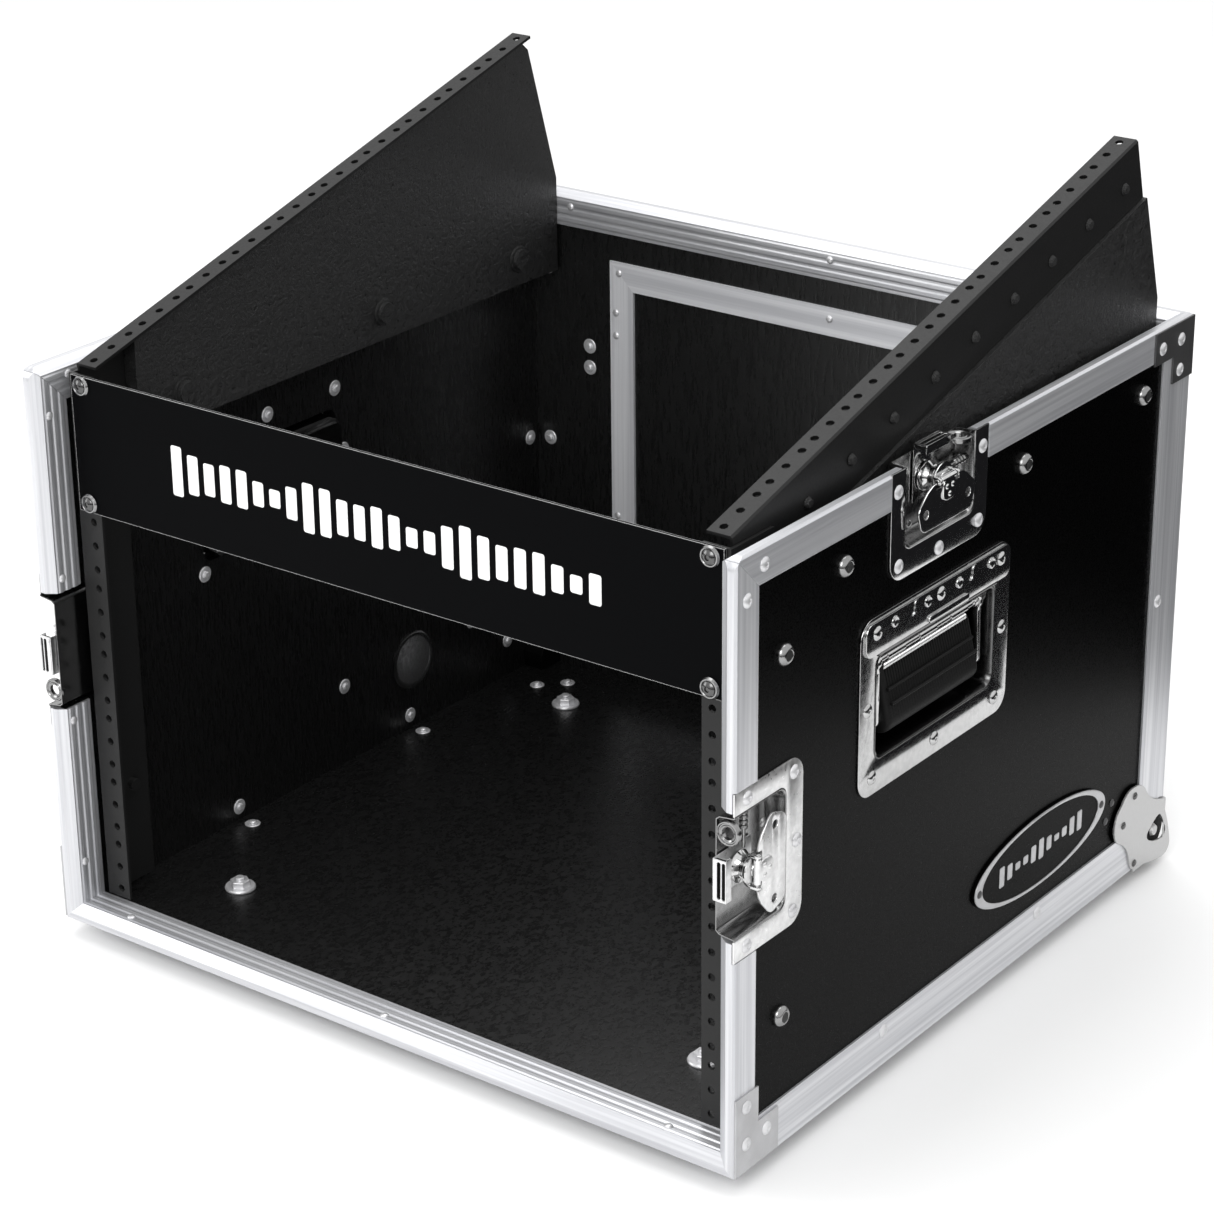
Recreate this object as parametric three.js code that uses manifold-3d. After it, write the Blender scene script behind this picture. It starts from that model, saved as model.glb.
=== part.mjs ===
// Equipment rack case: a road case body, open at the front and the top, that carries an upright 8-unit
// rack behind its front edge and a slanted 10-unit rack above its rim. Millimetres, +Z up, -Y front.
import * as THREE from "three";
import { mergeVertices } from "three/addons/utils/BufferGeometryUtils.js";
import Module from "manifold-3d";

const wasm = await Module();
wasm.setup();

// ---------------------------------------------------------------- driving dimensions
// The case's own frame: x = 0 in the middle, y = 0 at the front edge, z = 0 under the body.
const HALF_WIDTH = 263;
const DEPTH = 500;
const HEIGHT = 376;
const FOOT_HEIGHT = 12;

const SKIN = 1.5; // aluminium edging
const PLY = 9; // laminated plywood
const PANEL_OUT = HALF_WIDTH - SKIN;
const PANEL_IN = PANEL_OUT - PLY;
const GAP = 0.3; // between pieces that are cut or turned against each other
const WELD = 0.05; // how far joined lengths run into each other
const SLIP = 0.1; // panel edges in their channels

const RACK_UNIT = 44.45;
const UNIT_HOLES = [6.35, 22.225, 38.1];
const HOLE_LINE = 232.55; // half of 465.1 between the two hole rows
const RAIL_IN = 225.5;
const RAIL_SHEET = 2;
const RAIL_OUT = 242; // the slanted rail's flange runs inside the upright rail's
const UPRIGHT_OUT = RAIL_OUT + RAIL_SHEET + GAP;
const RAIL_FLANGE = 40;
const UPRIGHT_UNITS = 8;
const SLANT_UNITS = 10;
const UPRIGHT_BOTTOM = 15;
const UPRIGHT_FACE = 22;
const UPRIGHT_TOP = UPRIGHT_BOTTOM + UPRIGHT_UNITS * RACK_UNIT;
const SLANT_ANGLE = THREE.MathUtils.degToRad(15.35);
const SLANT_START = { y: 26, z: HEIGHT };
const SLANT_LENGTH = SLANT_UNITS * RACK_UNIT;
const RAIL_HOLE = 2.6; // radius of a tapped hole
const RACK_SCREW = 2;
const SCREW_DROP = 22.5; // the flange's screw line, below the rack face

const NOSE_DEPTH = 4.5; // solid front of a lid-edge extrusion
const NOSE_FLAT = 5.7;
const OUTER_LEG = 21;
const INNER_LEG = 24.5;
const EDGE_THICKNESS = SKIN + PLY + SKIN;
const CORNER_RADIUS = 8;
const BOTTOM_ANGLE = 30;
const REAR_ANGLE = 35;

const LATCH = {
  halfLength: 51.5,
  depth: 66,
  mouthHalf: 38,
  mouthDepth: 50,
  pocket: 12,
  sheet: 1.2,
  spindle: 18,
};
const LATCH_NOTCH = LATCH.mouthHalf + LATCH.sheet + GAP; // half of the gap in the edging and the panel
const FRONT_LATCH_Z = 189.5;
const TOP_LATCH_Y = 202;

const HANDLE = { y: 203, z: 241, halfLength: 81, halfHeight: 55, pocket: 20, sheet: 1.2 };
const WHEEL = { y: 491, z: 16.5, radius: 20, inner: 240, outer: 259.5, axle: 3 };
const POCKET_RADIUS = 21.5;
const CHEEK_TOP = 37;
const DOOR = { half: 166, bottom: 62, top: 314, trim: 20 };
const FEET = { x: 185, front: 82, rear: 430, radius: 19 };
const SIDE_BOLTS = [105, 297, 442]; // along the slanted plate
const SIDE_BOLT_Z = 337.5;
const RAIL_BOLTS = [84, 306];
const RAIL_BOLT_Y = 47;

// The body's middle lies over the origin, so the latch hooks and the wheels reach equally far.
const FRONT_REACH = 5;
const REAR_REACH = WHEEL.y + WHEEL.radius - DEPTH;
const CENTRE_Y = (DEPTH + REAR_REACH - FRONT_REACH) / 2;

// ---------------------------------------------------------------- materials
const finish = (color, roughness, metalness) =>
  new THREE.MeshStandardMaterial({ color, roughness, metalness });
const LAMINATE = finish(0x17181a, 0.45, 0);
const ALUMINIUM = finish(0xc9cbcf, 0.32, 0.9);
const CHROME = finish(0xe4e6e8, 0.12, 1);
const RAIL_STEEL = finish(0x55575a, 0.5, 0.6);
const BLACK_STEEL = finish(0x141416, 0.4, 0.3);
const RUBBER = finish(0x101010, 0.85, 0);

// ---------------------------------------------------------------- solids
const AXES = {
  x: [new THREE.Vector3(0, 1, 0), new THREE.Vector3(0, 0, 1), new THREE.Vector3(1, 0, 0)],
  y: [new THREE.Vector3(1, 0, 0), new THREE.Vector3(0, 0, 1), new THREE.Vector3(0, -1, 0)],
  z: [new THREE.Vector3(1, 0, 0), new THREE.Vector3(0, 1, 0), new THREE.Vector3(0, 0, 1)],
};

// An outline swept along an axis: it is (y, z) along x, (x, z) along y and (x, y) along z.
function prism(outline, axis, from, to, curveSegments = 6) {
  const points = Array.isArray(outline) && outline.map((p) => new THREE.Vector2(...p));
  const shape = points ? new THREE.Shape(points) : outline;
  const depth = to - from;
  const geometry = new THREE.ExtrudeGeometry(shape, { depth, bevelEnabled: false, curveSegments });
  const basis = new THREE.Matrix4().makeBasis(...AXES[axis]);
  basis.setPosition(axis === "x" ? from : 0, axis === "y" ? to : 0, axis === "z" ? from : 0);
  return geometry.applyMatrix4(basis);
}

function block(x0, x1, y0, y1, z0, z1) {
  const geometry = new THREE.BoxGeometry(x1 - x0, y1 - y0, z1 - z0);
  return geometry.translate((x0 + x1) / 2, (y0 + y1) / 2, (z0 + z1) / 2);
}

// A round bar along an axis; centre holds its other two coordinates in x, y, z order.
function rod(axis, radius, from, to, centre, segments = 16, endRadius = radius) {
  const geometry = new THREE.CylinderGeometry(endRadius, radius, to - from, segments);
  const middle = (from + to) / 2;
  if (axis === "x") return geometry.rotateZ(-Math.PI / 2).translate(middle, centre[0], centre[1]);
  if (axis === "z") return geometry.rotateX(Math.PI / 2).translate(centre[0], centre[1], middle);
  return geometry.translate(centre[0], middle, centre[1]);
}

function roundedRectangle(x0, x1, y0, y1, radius) {
  const shape = new THREE.Shape();
  shape.absarc(x1 - radius, y1 - radius, radius, 0, Math.PI / 2);
  shape.absarc(x0 + radius, y1 - radius, radius, Math.PI / 2, Math.PI);
  shape.absarc(x0 + radius, y0 + radius, radius, Math.PI, 1.5 * Math.PI);
  shape.absarc(x1 - radius, y0 + radius, radius, 1.5 * Math.PI, 2 * Math.PI);
  return shape;
}

function toSolid(geometry) {
  const bare = geometry.clone();
  bare.deleteAttribute("normal");
  bare.deleteAttribute("uv");
  const merged = mergeVertices(bare, 1e-4);
  const vertProperties = merged.attributes.position.array;
  const triVerts = new Uint32Array(merged.index.array);
  return new wasm.Manifold(new wasm.Mesh({ numProp: 3, vertProperties, triVerts }));
}

function toGeometry(solid) {
  const { vertProperties, triVerts } = solid.getMesh();
  const geometry = new THREE.BufferGeometry();
  geometry.setAttribute("position", new THREE.BufferAttribute(vertProperties, 3));
  geometry.setIndex(new THREE.BufferAttribute(triVerts, 1));
  const flat = geometry.toNonIndexed();
  flat.computeVertexNormals();
  return flat;
}

function join(...pieces) {
  return toGeometry(pieces.map(toSolid).reduce((sum, piece) => sum.add(piece)));
}

function cut(body, ...tools) {
  return toGeometry(tools.map(toSolid).reduce((rest, tool) => rest.subtract(tool), toSolid(body)));
}

// Keeps the side of a plane that its normal points to.
function trim(body, normal, point) {
  const direction = new THREE.Vector3(...normal).normalize();
  const offset = direction.dot(new THREE.Vector3(...point));
  return toGeometry(toSolid(body).trimByPlane(direction.toArray(), offset));
}

function named(name, geometry, material) {
  const mesh = new THREE.Mesh(geometry, material);
  mesh.name = name;
  return mesh;
}

// ---------------------------------------------------------------- edging
// The lid-edge extrusion in section: u goes in from the outer face, v goes back from the rim.
function lidEdgeSection() {
  const ribs = 3;
  const rise = 0.5;
  const ribPitch = (INNER_LEG - NOSE_DEPTH - 2) / ribs;
  const section = [
    [0, OUTER_LEG],
    [0, 1.4],
    [1.4, 0],
    [NOSE_FLAT, 0],
    [EDGE_THICKNESS, NOSE_DEPTH],
  ];
  for (let i = 0; i < ribs; i++) {
    const v = NOSE_DEPTH + 1 + i * ribPitch;
    section.push([EDGE_THICKNESS, v]);
    section.push([EDGE_THICKNESS + rise, v + ribPitch * 0.2]);
    section.push([EDGE_THICKNESS + rise, v + ribPitch * 0.6]);
    section.push([EDGE_THICKNESS, v + ribPitch * 0.8]);
  }
  section.push([EDGE_THICKNESS, INNER_LEG]);
  section.push([EDGE_THICKNESS - SKIN, INNER_LEG]);
  section.push([EDGE_THICKNESS - SKIN, NOSE_DEPTH]);
  section.push([SKIN, NOSE_DEPTH]);
  section.push([SKIN, OUTER_LEG]);
  return section;
}
const LID_EDGE = lidEdgeSection();

const uprightEdge = (side, z0, z1) =>
  prism(LID_EDGE.map(([u, v]) => [side * (HALF_WIDTH - u), v]), "z", z0, z1);
const sideTopEdge = (side, y0, y1) =>
  prism(LID_EDGE.map(([u, v]) => [side * (HALF_WIDTH - u), HEIGHT - v]), "y", y0, y1);

// What the rounded front top corner takes off both extrusions that meet there.
function cornerRounding() {
  const beyond = 2;
  const shape = new THREE.Shape();
  shape.moveTo(-beyond, HEIGHT + beyond);
  shape.lineTo(-beyond, HEIGHT - CORNER_RADIUS);
  shape.lineTo(0, HEIGHT - CORNER_RADIUS);
  shape.absarc(CORNER_RADIUS, HEIGHT - CORNER_RADIUS, CORNER_RADIUS, Math.PI, Math.PI / 2, true);
  shape.lineTo(CORNER_RADIUS, HEIGHT + beyond);
  return prism(shape, "x", HALF_WIDTH - 2 * EDGE_THICKNESS, HALF_WIDTH + beyond, 5);
}

// Room for the latch flanges of one side in the outer legs of its edging.
function flangeSeats(side) {
  const across = [side * (PANEL_OUT - GAP), side * (HALF_WIDTH + 1)].sort((a, b) => a - b);
  const half = LATCH.halfLength + GAP;
  const deep = OUTER_LEG + 1;
  return [
    block(...across, -1, deep, FRONT_LATCH_Z - half, FRONT_LATCH_Z + half),
    block(...across, TOP_LATCH_Y - half, TOP_LATCH_Y + half, HEIGHT - deep, HEIGHT + 1),
  ];
}

function frontExtrusion() {
  const blank = uprightEdge(1, FRONT_LATCH_Z + LATCH_NOTCH, HEIGHT);
  const mitred = trim(blank, [0, -1, -1], [0, 0, HEIGHT - GAP / 2]);
  return cut(mitred, cornerRounding(), ...flangeSeats(1));
}

function topExtrusion() {
  const blank = sideTopEdge(1, 0, TOP_LATCH_Y - LATCH_NOTCH);
  const mitred = trim(blank, [0, 1, 1], [0, 0, HEIGHT + GAP / 2]);
  return cut(mitred, cornerRounding(), ...flangeSeats(1));
}

// Three mitred lengths, riveted to one frame by the corner brackets: up to the front latches.
function lowerFrontExtrusion() {
  const along = LID_EDGE.map(([u, v]) => [v, u]);
  let bottom = prism(along, "x", -HALF_WIDTH, HALF_WIDTH);
  const uprights = [];
  for (const side of [-1, 1]) {
    const corner = [side * HALF_WIDTH, 0, 0];
    bottom = trim(bottom, [-side, 0, -1], corner);
    const upright = uprightEdge(side, 0, FRONT_LATCH_Z - LATCH_NOTCH);
    const mitred = trim(upright, [side, 0, 1], [corner[0] - side * WELD, 0, 0]);
    uprights.push(cut(mitred, ...flangeSeats(side)));
  }
  return join(bottom, ...uprights);
}

// Three mitred lengths behind the top latches.
function rearTopExtrusion() {
  const across = LID_EDGE.map(([u, v]) => [DEPTH - u, HEIGHT - v]);
  let rear = prism(across, "x", -HALF_WIDTH, HALF_WIDTH);
  const sides = [];
  for (const side of [-1, 1]) {
    const corner = [side * HALF_WIDTH, DEPTH, 0];
    rear = trim(rear, [-side, 1, 0], corner);
    const length = sideTopEdge(side, TOP_LATCH_Y + LATCH_NOTCH, DEPTH);
    const mitred = trim(length, [side, -1, 0], [corner[0] - side * WELD, DEPTH, 0]);
    sides.push(cut(mitred, ...flangeSeats(side)));
  }
  return join(rear, ...sides);
}

function wheelPocket(radius) {
  return rod("x", radius, WHEEL.inner - 4, HALF_WIDTH + 2, [WHEEL.y, WHEEL.z], 28);
}
const POCKET_CUT = wheelPocket(POCKET_RADIUS + 1.5 + GAP);
const POCKET_CUT_LEFT = POCKET_CUT.clone().rotateZ(Math.PI).translate(0, 2 * WHEEL.y, 0);

function bottomAngle() {
  const inner = HALF_WIDTH - BOTTOM_ANGLE;
  const section = [
    [HALF_WIDTH, 0],
    [HALF_WIDTH, BOTTOM_ANGLE],
    [PANEL_OUT, BOTTOM_ANGLE],
    [PANEL_OUT, SKIN],
    [inner, SKIN],
    [inner, 0],
  ];
  return cut(prism(section, "y", OUTER_LEG + GAP, DEPTH - BOTTOM_ANGLE - GAP), POCKET_CUT);
}

function rearAngle() {
  const section = [
    [HALF_WIDTH, DEPTH],
    [HALF_WIDTH - REAR_ANGLE, DEPTH],
    [HALF_WIDTH - REAR_ANGLE, DEPTH - SKIN],
    [PANEL_OUT, DEPTH - SKIN],
    [PANEL_OUT, DEPTH - REAR_ANGLE],
    [HALF_WIDTH, DEPTH - REAR_ANGLE],
  ];
  return cut(prism(section, "z", BOTTOM_ANGLE + GAP, HEIGHT - OUTER_LEG - GAP), POCKET_CUT);
}

function rearBottomAngle() {
  const section = [
    [DEPTH, 0],
    [DEPTH, BOTTOM_ANGLE],
    [DEPTH - SKIN, BOTTOM_ANGLE],
    [DEPTH - SKIN, SKIN],
    [DEPTH - BOTTOM_ANGLE, SKIN],
    [DEPTH - BOTTOM_ANGLE, 0],
  ];
  return cut(prism(section, "x", -HALF_WIDTH, HALF_WIDTH), POCKET_CUT, POCKET_CUT_LEFT);
}

// ---------------------------------------------------------------- panels
const BOLT = 4;
const BOLT_HOLE = 4.5;
const WASHER = { radius: 9, height: 1.5 };

function sidePanel() {
  const faces = [PANEL_IN + SLIP / 2, PANEL_OUT - SLIP / 2];
  const board = block(...faces, NOSE_DEPTH + SLIP, DEPTH - SKIN, SKIN, HEIGHT - NOSE_DEPTH - SLIP);
  const through = [PANEL_IN - 1, PANEL_OUT + 1];
  const notch = LATCH_NOTCH;
  const notchDepth = LATCH.mouthDepth + LATCH.sheet + GAP;
  const frontNotch = block(...through, -1, notchDepth, FRONT_LATCH_Z - notch, FRONT_LATCH_Z + notch);
  const topLevel = [HEIGHT - notchDepth, HEIGHT + 1];
  const topNotch = block(...through, TOP_LATCH_Y - notch, TOP_LATCH_Y + notch, ...topLevel);
  const mouth = handleMouth(HANDLE.sheet + GAP);
  const handleHole = prism(mouth, "x", ...through, 3).translate(0, HANDLE.y, HANDLE.z);
  const boltHoles = SIDE_BOLTS.map((y) => rod("x", BOLT_HOLE, ...through, [y, SIDE_BOLT_Z], 12));
  RAIL_BOLTS.forEach((z) => boltHoles.push(rod("x", BOLT_HOLE, ...through, [RAIL_BOLT_Y, z], 12)));
  return cut(board, frontNotch, topNotch, handleHole, POCKET_CUT, ...boltHoles);
}

function bottomPanel() {
  const level = [SKIN + SLIP, SKIN + PLY - SLIP];
  const board = block(-PANEL_IN, PANEL_IN, NOSE_DEPTH + SLIP, DEPTH - SKIN - PLY, ...level);
  const holes = footPlaces().map(([x, y]) => rod("z", BOLT_HOLE, -1, SKIN + PLY + 1, [x, y], 12));
  return cut(board, POCKET_CUT, POCKET_CUT_LEFT, ...holes);
}

function rearPanel() {
  const thick = [DEPTH - SKIN - PLY + SLIP, DEPTH - SKIN - SLIP];
  const board = block(-PANEL_IN, PANEL_IN, ...thick, SKIN, HEIGHT - NOSE_DEPTH - SLIP);
  const opening = block(-DOOR.half, DOOR.half, DEPTH - 20, DEPTH + 1, DOOR.bottom, DOOR.top);
  return cut(board, opening, POCKET_CUT, POCKET_CUT_LEFT);
}

// ---------------------------------------------------------------- rear access door
const CATCH = { x: -166, reach: 36, half: 14, barrel: 2.2, pin: 1.2 };
const CATCH_HEIGHTS = [120, 256];
const HINGE = { x: 184, y: DEPTH + 1.4, radius: 2.2, knuckles: 5, leaf: 18 };
const DOOR_FACE = DEPTH + 0.8;
const CATCH_Y = DOOR_FACE + CATCH.barrel + GAP;

// Aluminium trim round the opening, seen from inside: a flat flange and a lip along the cut edge.
function doorFrame() {
  const inside = DEPTH - SKIN - PLY;
  const lip = SKIN;
  const ring = (grow, y0, y1) =>
    block(-DOOR.half - grow, DOOR.half + grow, y0, y1, DOOR.bottom - grow, DOOR.top + grow);
  const flange = cut(ring(DOOR.trim - lip, inside - SKIN, inside), ring(-lip, inside - 5, inside + 5));
  const lining = cut(ring(-GAP / 3, inside - SKIN, DEPTH - SKIN), ring(-lip, inside - 5, DEPTH + 5));
  return join(flange, lining);
}

// The door board fills the opening; its outer sheet laps over the rear panel.
function accessDoor() {
  const clear = SKIN + GAP;
  const inset = (grow, y0, y1) =>
    block(-DOOR.half - grow, DOOR.half + grow, y0, y1, DOOR.bottom - grow, DOOR.top + grow);
  const board = inset(-clear, DEPTH - SKIN - PLY + GAP, DEPTH - SKIN + GAP);
  const sheet = inset(14, DEPTH - SKIN + GAP, DOOR_FACE);
  const ears = CATCH_HEIGHTS.flatMap(catchEars);
  return join(board, sheet, ...ears, hingeHalf(1, HINGE.x - HINGE.leaf, HINGE.x, DOOR_FACE, HINGE.y + 0.8));
}

function hingeKnuckles(parity, grow) {
  const pitch = (DOOR.top - DOOR.bottom - 2) / HINGE.knuckles;
  const knuckles = [];
  for (let i = parity; i < HINGE.knuckles; i += 2) {
    const z = DOOR.bottom + 1 + i * pitch;
    const ends = [z + GAP / 2 - grow, z + pitch - GAP / 2 + grow];
    knuckles.push(rod("z", HINGE.radius + grow, ...ends, [HINGE.x, HINGE.y], 12));
  }
  return knuckles;
}

// A leaf with its own knuckles, cleared for the other half's.
function hingeHalf(parity, x0, x1, y0, y1) {
  const leaf = block(x0, x1, y0, y1, DOOR.bottom + 1, DOOR.top - 1);
  return join(cut(leaf, ...hingeKnuckles(1 - parity, GAP)), ...hingeKnuckles(parity, 0));
}

// ---------------------------------------------------------------- racks
function railHoles(units, start) {
  const places = [];
  for (let unit = 0; unit < units; unit++) {
    UNIT_HOLES.forEach((hole) => places.push(start + unit * RACK_UNIT + hole));
  }
  return places;
}

const BOLT_HEAD = { radius: 6.4, rim: 0.8, crown: 3.4, height: 3.6 };

// A bolt from a rack plate through the side panel, with its spacer and its domed head outside.
function sideBolt(y, z, from, plateOut) {
  const { radius, rim, crown, height } = BOLT_HEAD;
  const seat = PANEL_OUT + GAP;
  return [
    rod("x", BOLT, from, seat + rim, [y, z], 12),
    rod("x", 8, plateOut - 0.5, PANEL_IN - GAP, [y, z], 16),
    rod("x", radius, seat, seat + rim, [y, z], 20),
    rod("x", radius, seat + rim - WELD, seat + height, [y, z], 20, crown),
  ];
}

function uprightRail() {
  const section = [
    [RAIL_IN, UPRIGHT_FACE],
    [UPRIGHT_OUT, UPRIGHT_FACE],
    [UPRIGHT_OUT, UPRIGHT_FACE + RAIL_FLANGE],
    [UPRIGHT_OUT - RAIL_SHEET, UPRIGHT_FACE + RAIL_FLANGE],
    [UPRIGHT_OUT - RAIL_SHEET, UPRIGHT_FACE + RAIL_SHEET],
    [RAIL_IN, UPRIGHT_FACE + RAIL_SHEET],
  ];
  const rail = prism(section, "z", UPRIGHT_BOTTOM, UPRIGHT_TOP);
  const through = [UPRIGHT_FACE - 1, UPRIGHT_FACE + RAIL_SHEET + 1];
  const holes = railHoles(UPRIGHT_UNITS, UPRIGHT_BOTTOM).map((z) =>
    rod("y", RAIL_HOLE, ...through, [HOLE_LINE, z], 8),
  );
  const bolts = RAIL_BOLTS.flatMap((z) => sideBolt(RAIL_BOLT_Y, z, UPRIGHT_OUT - 6, UPRIGHT_OUT));
  return cut(join(rail, ...bolts), ...holes);
}

// Along y from its lower front end, with the rack face on top; the group turns it to the slant.
function slantRail() {
  const section = [
    [RAIL_IN, 0],
    [RAIL_OUT - 1.2, 0],
    [RAIL_OUT, -1.2],
    [RAIL_OUT, -RAIL_FLANGE],
    [RAIL_OUT - RAIL_SHEET, -RAIL_FLANGE],
    [RAIL_OUT - RAIL_SHEET, -RAIL_SHEET],
    [RAIL_IN, -RAIL_SHEET],
  ];
  const holes = railHoles(SLANT_UNITS, 0).map((y) =>
    rod("z", RAIL_HOLE, -RAIL_SHEET - 1, 1, [HOLE_LINE, y], 8),
  );
  flangeScrews().forEach((y) => {
    holes.push(rod("x", 3.4, RAIL_OUT - 4, RAIL_OUT + 1, [y, -SCREW_DROP], 8));
  });
  return cut(prism(section, "y", 0, SLANT_LENGTH), ...holes);
}

// One screw to each unit but the last, along the slanted flange.
function flangeScrews() {
  return Array.from({ length: SLANT_UNITS - 1 }, (_, i) => (1.5 + i) * RACK_UNIT + 1);
}

const PLATE_IN = 230;
const PLATE_OUT = 244.5;
const PLATE_BOTTOM = 318;
const PLATE_REAR = 487;

function onSlant(along, below) {
  return [
    SLANT_START.y + along * Math.cos(SLANT_ANGLE) + below * Math.sin(SLANT_ANGLE),
    SLANT_START.z + along * Math.sin(SLANT_ANGLE) - below * Math.cos(SLANT_ANGLE),
  ];
}

// Board under the slanted rail, rebated for the rail's flange and bolted through the side panel.
function slantPlate() {
  const front = UPRIGHT_FACE + RAIL_FLANGE + 2;
  const under = RAIL_SHEET + GAP;
  const frontAlong = (front - SLANT_START.y) / Math.cos(SLANT_ANGLE);
  const lean = onSlant(SLANT_LENGTH, 112);
  const outline = [
    [front, PLATE_BOTTOM],
    [PLATE_REAR, PLATE_BOTTOM],
    [PLATE_REAR, lean[1]],
    onSlant(SLANT_LENGTH, under + 9),
    onSlant(SLANT_LENGTH - 6, under),
    onSlant(frontAlong, under),
  ];
  const step = RAIL_OUT - RAIL_SHEET - GAP;
  const rebate = [
    onSlant(-20, RAIL_FLANGE + GAP),
    onSlant(SLANT_LENGTH + 20, RAIL_FLANGE + GAP),
    onSlant(SLANT_LENGTH + 20, -20),
    onSlant(-20, -20),
  ];
  const board = cut(prism(outline, "x", PLATE_IN, PLATE_OUT), prism(rebate, "x", step, PLATE_OUT + 5));
  const bolts = SIDE_BOLTS.flatMap((y) => [
    ...sideBolt(y, SIDE_BOLT_Z, PLATE_IN - 2, PLATE_OUT),
    rod("x", WASHER.radius, PLATE_IN - WASHER.height, PLATE_IN + 1, [y, SIDE_BOLT_Z], 20),
    rod("x", 7, PLATE_IN - 4, PLATE_IN, [y, SIDE_BOLT_Z], 16),
  ]);
  const screws = flangeScrews().flatMap((along) => {
    const place = onSlant(along, SCREW_DROP);
    return [
      rod("x", 2.6, step - 2, RAIL_OUT + 1, place, 8),
      rod("x", 3.8, RAIL_OUT + GAP, RAIL_OUT + 2.6, place, 12, 2.4),
    ];
  });
  return join(board, ...bolts, ...screws);
}

function blankPanel() {
  const top = UPRIGHT_TOP;
  const height = 2 * RACK_UNIT - 0.8;
  const sheet = block(-241.3, 241.3, UPRIGHT_FACE - RAIL_SHEET, UPRIGHT_FACE, top - height, top);
  const screws = [];
  for (const x of [-HOLE_LINE, HOLE_LINE]) {
    for (const z of [top - UNIT_HOLES[0], top - 2 * RACK_UNIT + UNIT_HOLES[0]]) {
      screws.push(rod("y", RACK_SCREW, UPRIGHT_FACE - 1, UPRIGHT_FACE + 8, [x, z], 10));
      screws.push(rod("y", 5.2, UPRIGHT_FACE - RAIL_SHEET - 0.6, UPRIGHT_FACE - 1, [x, z], 20));
      screws.push(rod("y", 3, UPRIGHT_FACE - RAIL_SHEET - 2.4, UPRIGHT_FACE - 1, [x, z], 16, 4));
    }
  }
  return join(sheet, ...screws);
}

// ---------------------------------------------------------------- corner hardware
const bracketSheet = 1.2;

function frontBracket() {
  const outline = [
    [1, 1],
    [43, 1],
    [43, 28],
    [23, 28],
    [23, 51],
    [1, 51],
  ];
  return prism(outline, "x", HALF_WIDTH, HALF_WIDTH + bracketSheet);
}

// Folded round the rear corner: an L on the side and its mirror on the rear.
function rearBracket() {
  const arm = 50;
  const wide = 26;
  const top = HEIGHT - 1.5;
  const ell = (edge, way) => [
    [edge, top - 39],
    [edge, top],
    [edge + way * arm, top],
    [edge + way * arm, top - 21],
    [edge + way * wide, top - 21],
    [edge + way * wide, top - 39],
  ];
  const outer = { x: HALF_WIDTH + bracketSheet, y: DEPTH + bracketSheet };
  return join(
    prism(ell(outer.y, -1), "x", HALF_WIDTH, outer.x),
    prism(ell(outer.x, -1), "y", DEPTH, outer.y),
  );
}

// Cheek of the wheel corner: a petal whose low rear corner covers the wheel, with a three-sided window.
function cheekShape() {
  const rear = DEPTH + 1;
  const shape = new THREE.Shape();
  shape.moveTo(rear, CHEEK_TOP);
  shape.quadraticCurveTo(481, 42, 474, 52);
  shape.quadraticCurveTo(468, 62, 458, 62.5);
  shape.quadraticCurveTo(447, 64, 441, 56);
  shape.quadraticCurveTo(430, 49, 431.5, 38);
  shape.quadraticCurveTo(433, 30, 441, 27);
  shape.quadraticCurveTo(452, 20, 454, 9);
  shape.quadraticCurveTo(456, 0.5, 463, -0.5);
  shape.lineTo(472, 0);
  shape.quadraticCurveTo(484, -5, 500, -6.5);
  shape.quadraticCurveTo(510, -7, 510.5, 1);
  shape.quadraticCurveTo(509, 12, rear, 29);
  const window = new THREE.Path();
  window.moveTo(479, 21);
  window.quadraticCurveTo(475, 18, 480, 14);
  window.quadraticCurveTo(488, 9, 499, 8);
  window.quadraticCurveTo(505, 9, 503, 15);
  window.quadraticCurveTo(498, 25, 494, 28);
  window.quadraticCurveTo(490, 29, 479, 21);
  shape.holes.push(window);
  return shape;
}

// Pressed corner with its wheel pocket; the axle is riveted into the pocket's inner wall.
function wheelHousing() {
  const sheet = 1.4;
  const wall = POCKET_RADIUS + sheet;
  const innerCheek = WHEEL.inner - 2;
  const plate = HALF_WIDTH + sheet;
  const wheelAxis = [WHEEL.y, WHEEL.z];
  const outside = [
    block(200, 300, DEPTH + sheet, DEPTH + 60, -60, 120),
    block(200, 300, DEPTH - 120, DEPTH + 60, -60, -sheet),
  ];
  const drum = rod("x", wall, innerCheek - sheet, HALF_WIDTH + 0.5, wheelAxis, 28);
  const room = rod("x", POCKET_RADIUS, innerCheek, HALF_WIDTH + 1, wheelAxis, 28);
  const pocket = cut(drum, room, ...outside);
  const petal = [
    [226, 0],
    [plate, 0],
    [plate, CHEEK_TOP],
    [252, 42],
    [245, 58],
    [230, 62],
    [221, 50],
    [226, 36],
  ];
  const rearPlate = prism(petal, "y", DEPTH, DEPTH + sheet);
  const bottomPlate = block(226, plate, 460, DEPTH + sheet, -sheet, 0);
  const flanges = cut(join(rearPlate, bottomPlate), room);
  const cheek = prism(cheekShape(), "x", HALF_WIDTH, plate, 5);
  const axle = rod("x", WHEEL.axle, innerCheek - 1, HALF_WIDTH, wheelAxis, 14);
  const axleHead = rod("x", 4.6, WHEEL.outer + 1, HALF_WIDTH, wheelAxis, 14, 3.4);
  return join(pocket, flanges, cheek, axle, axleHead);
}

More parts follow.
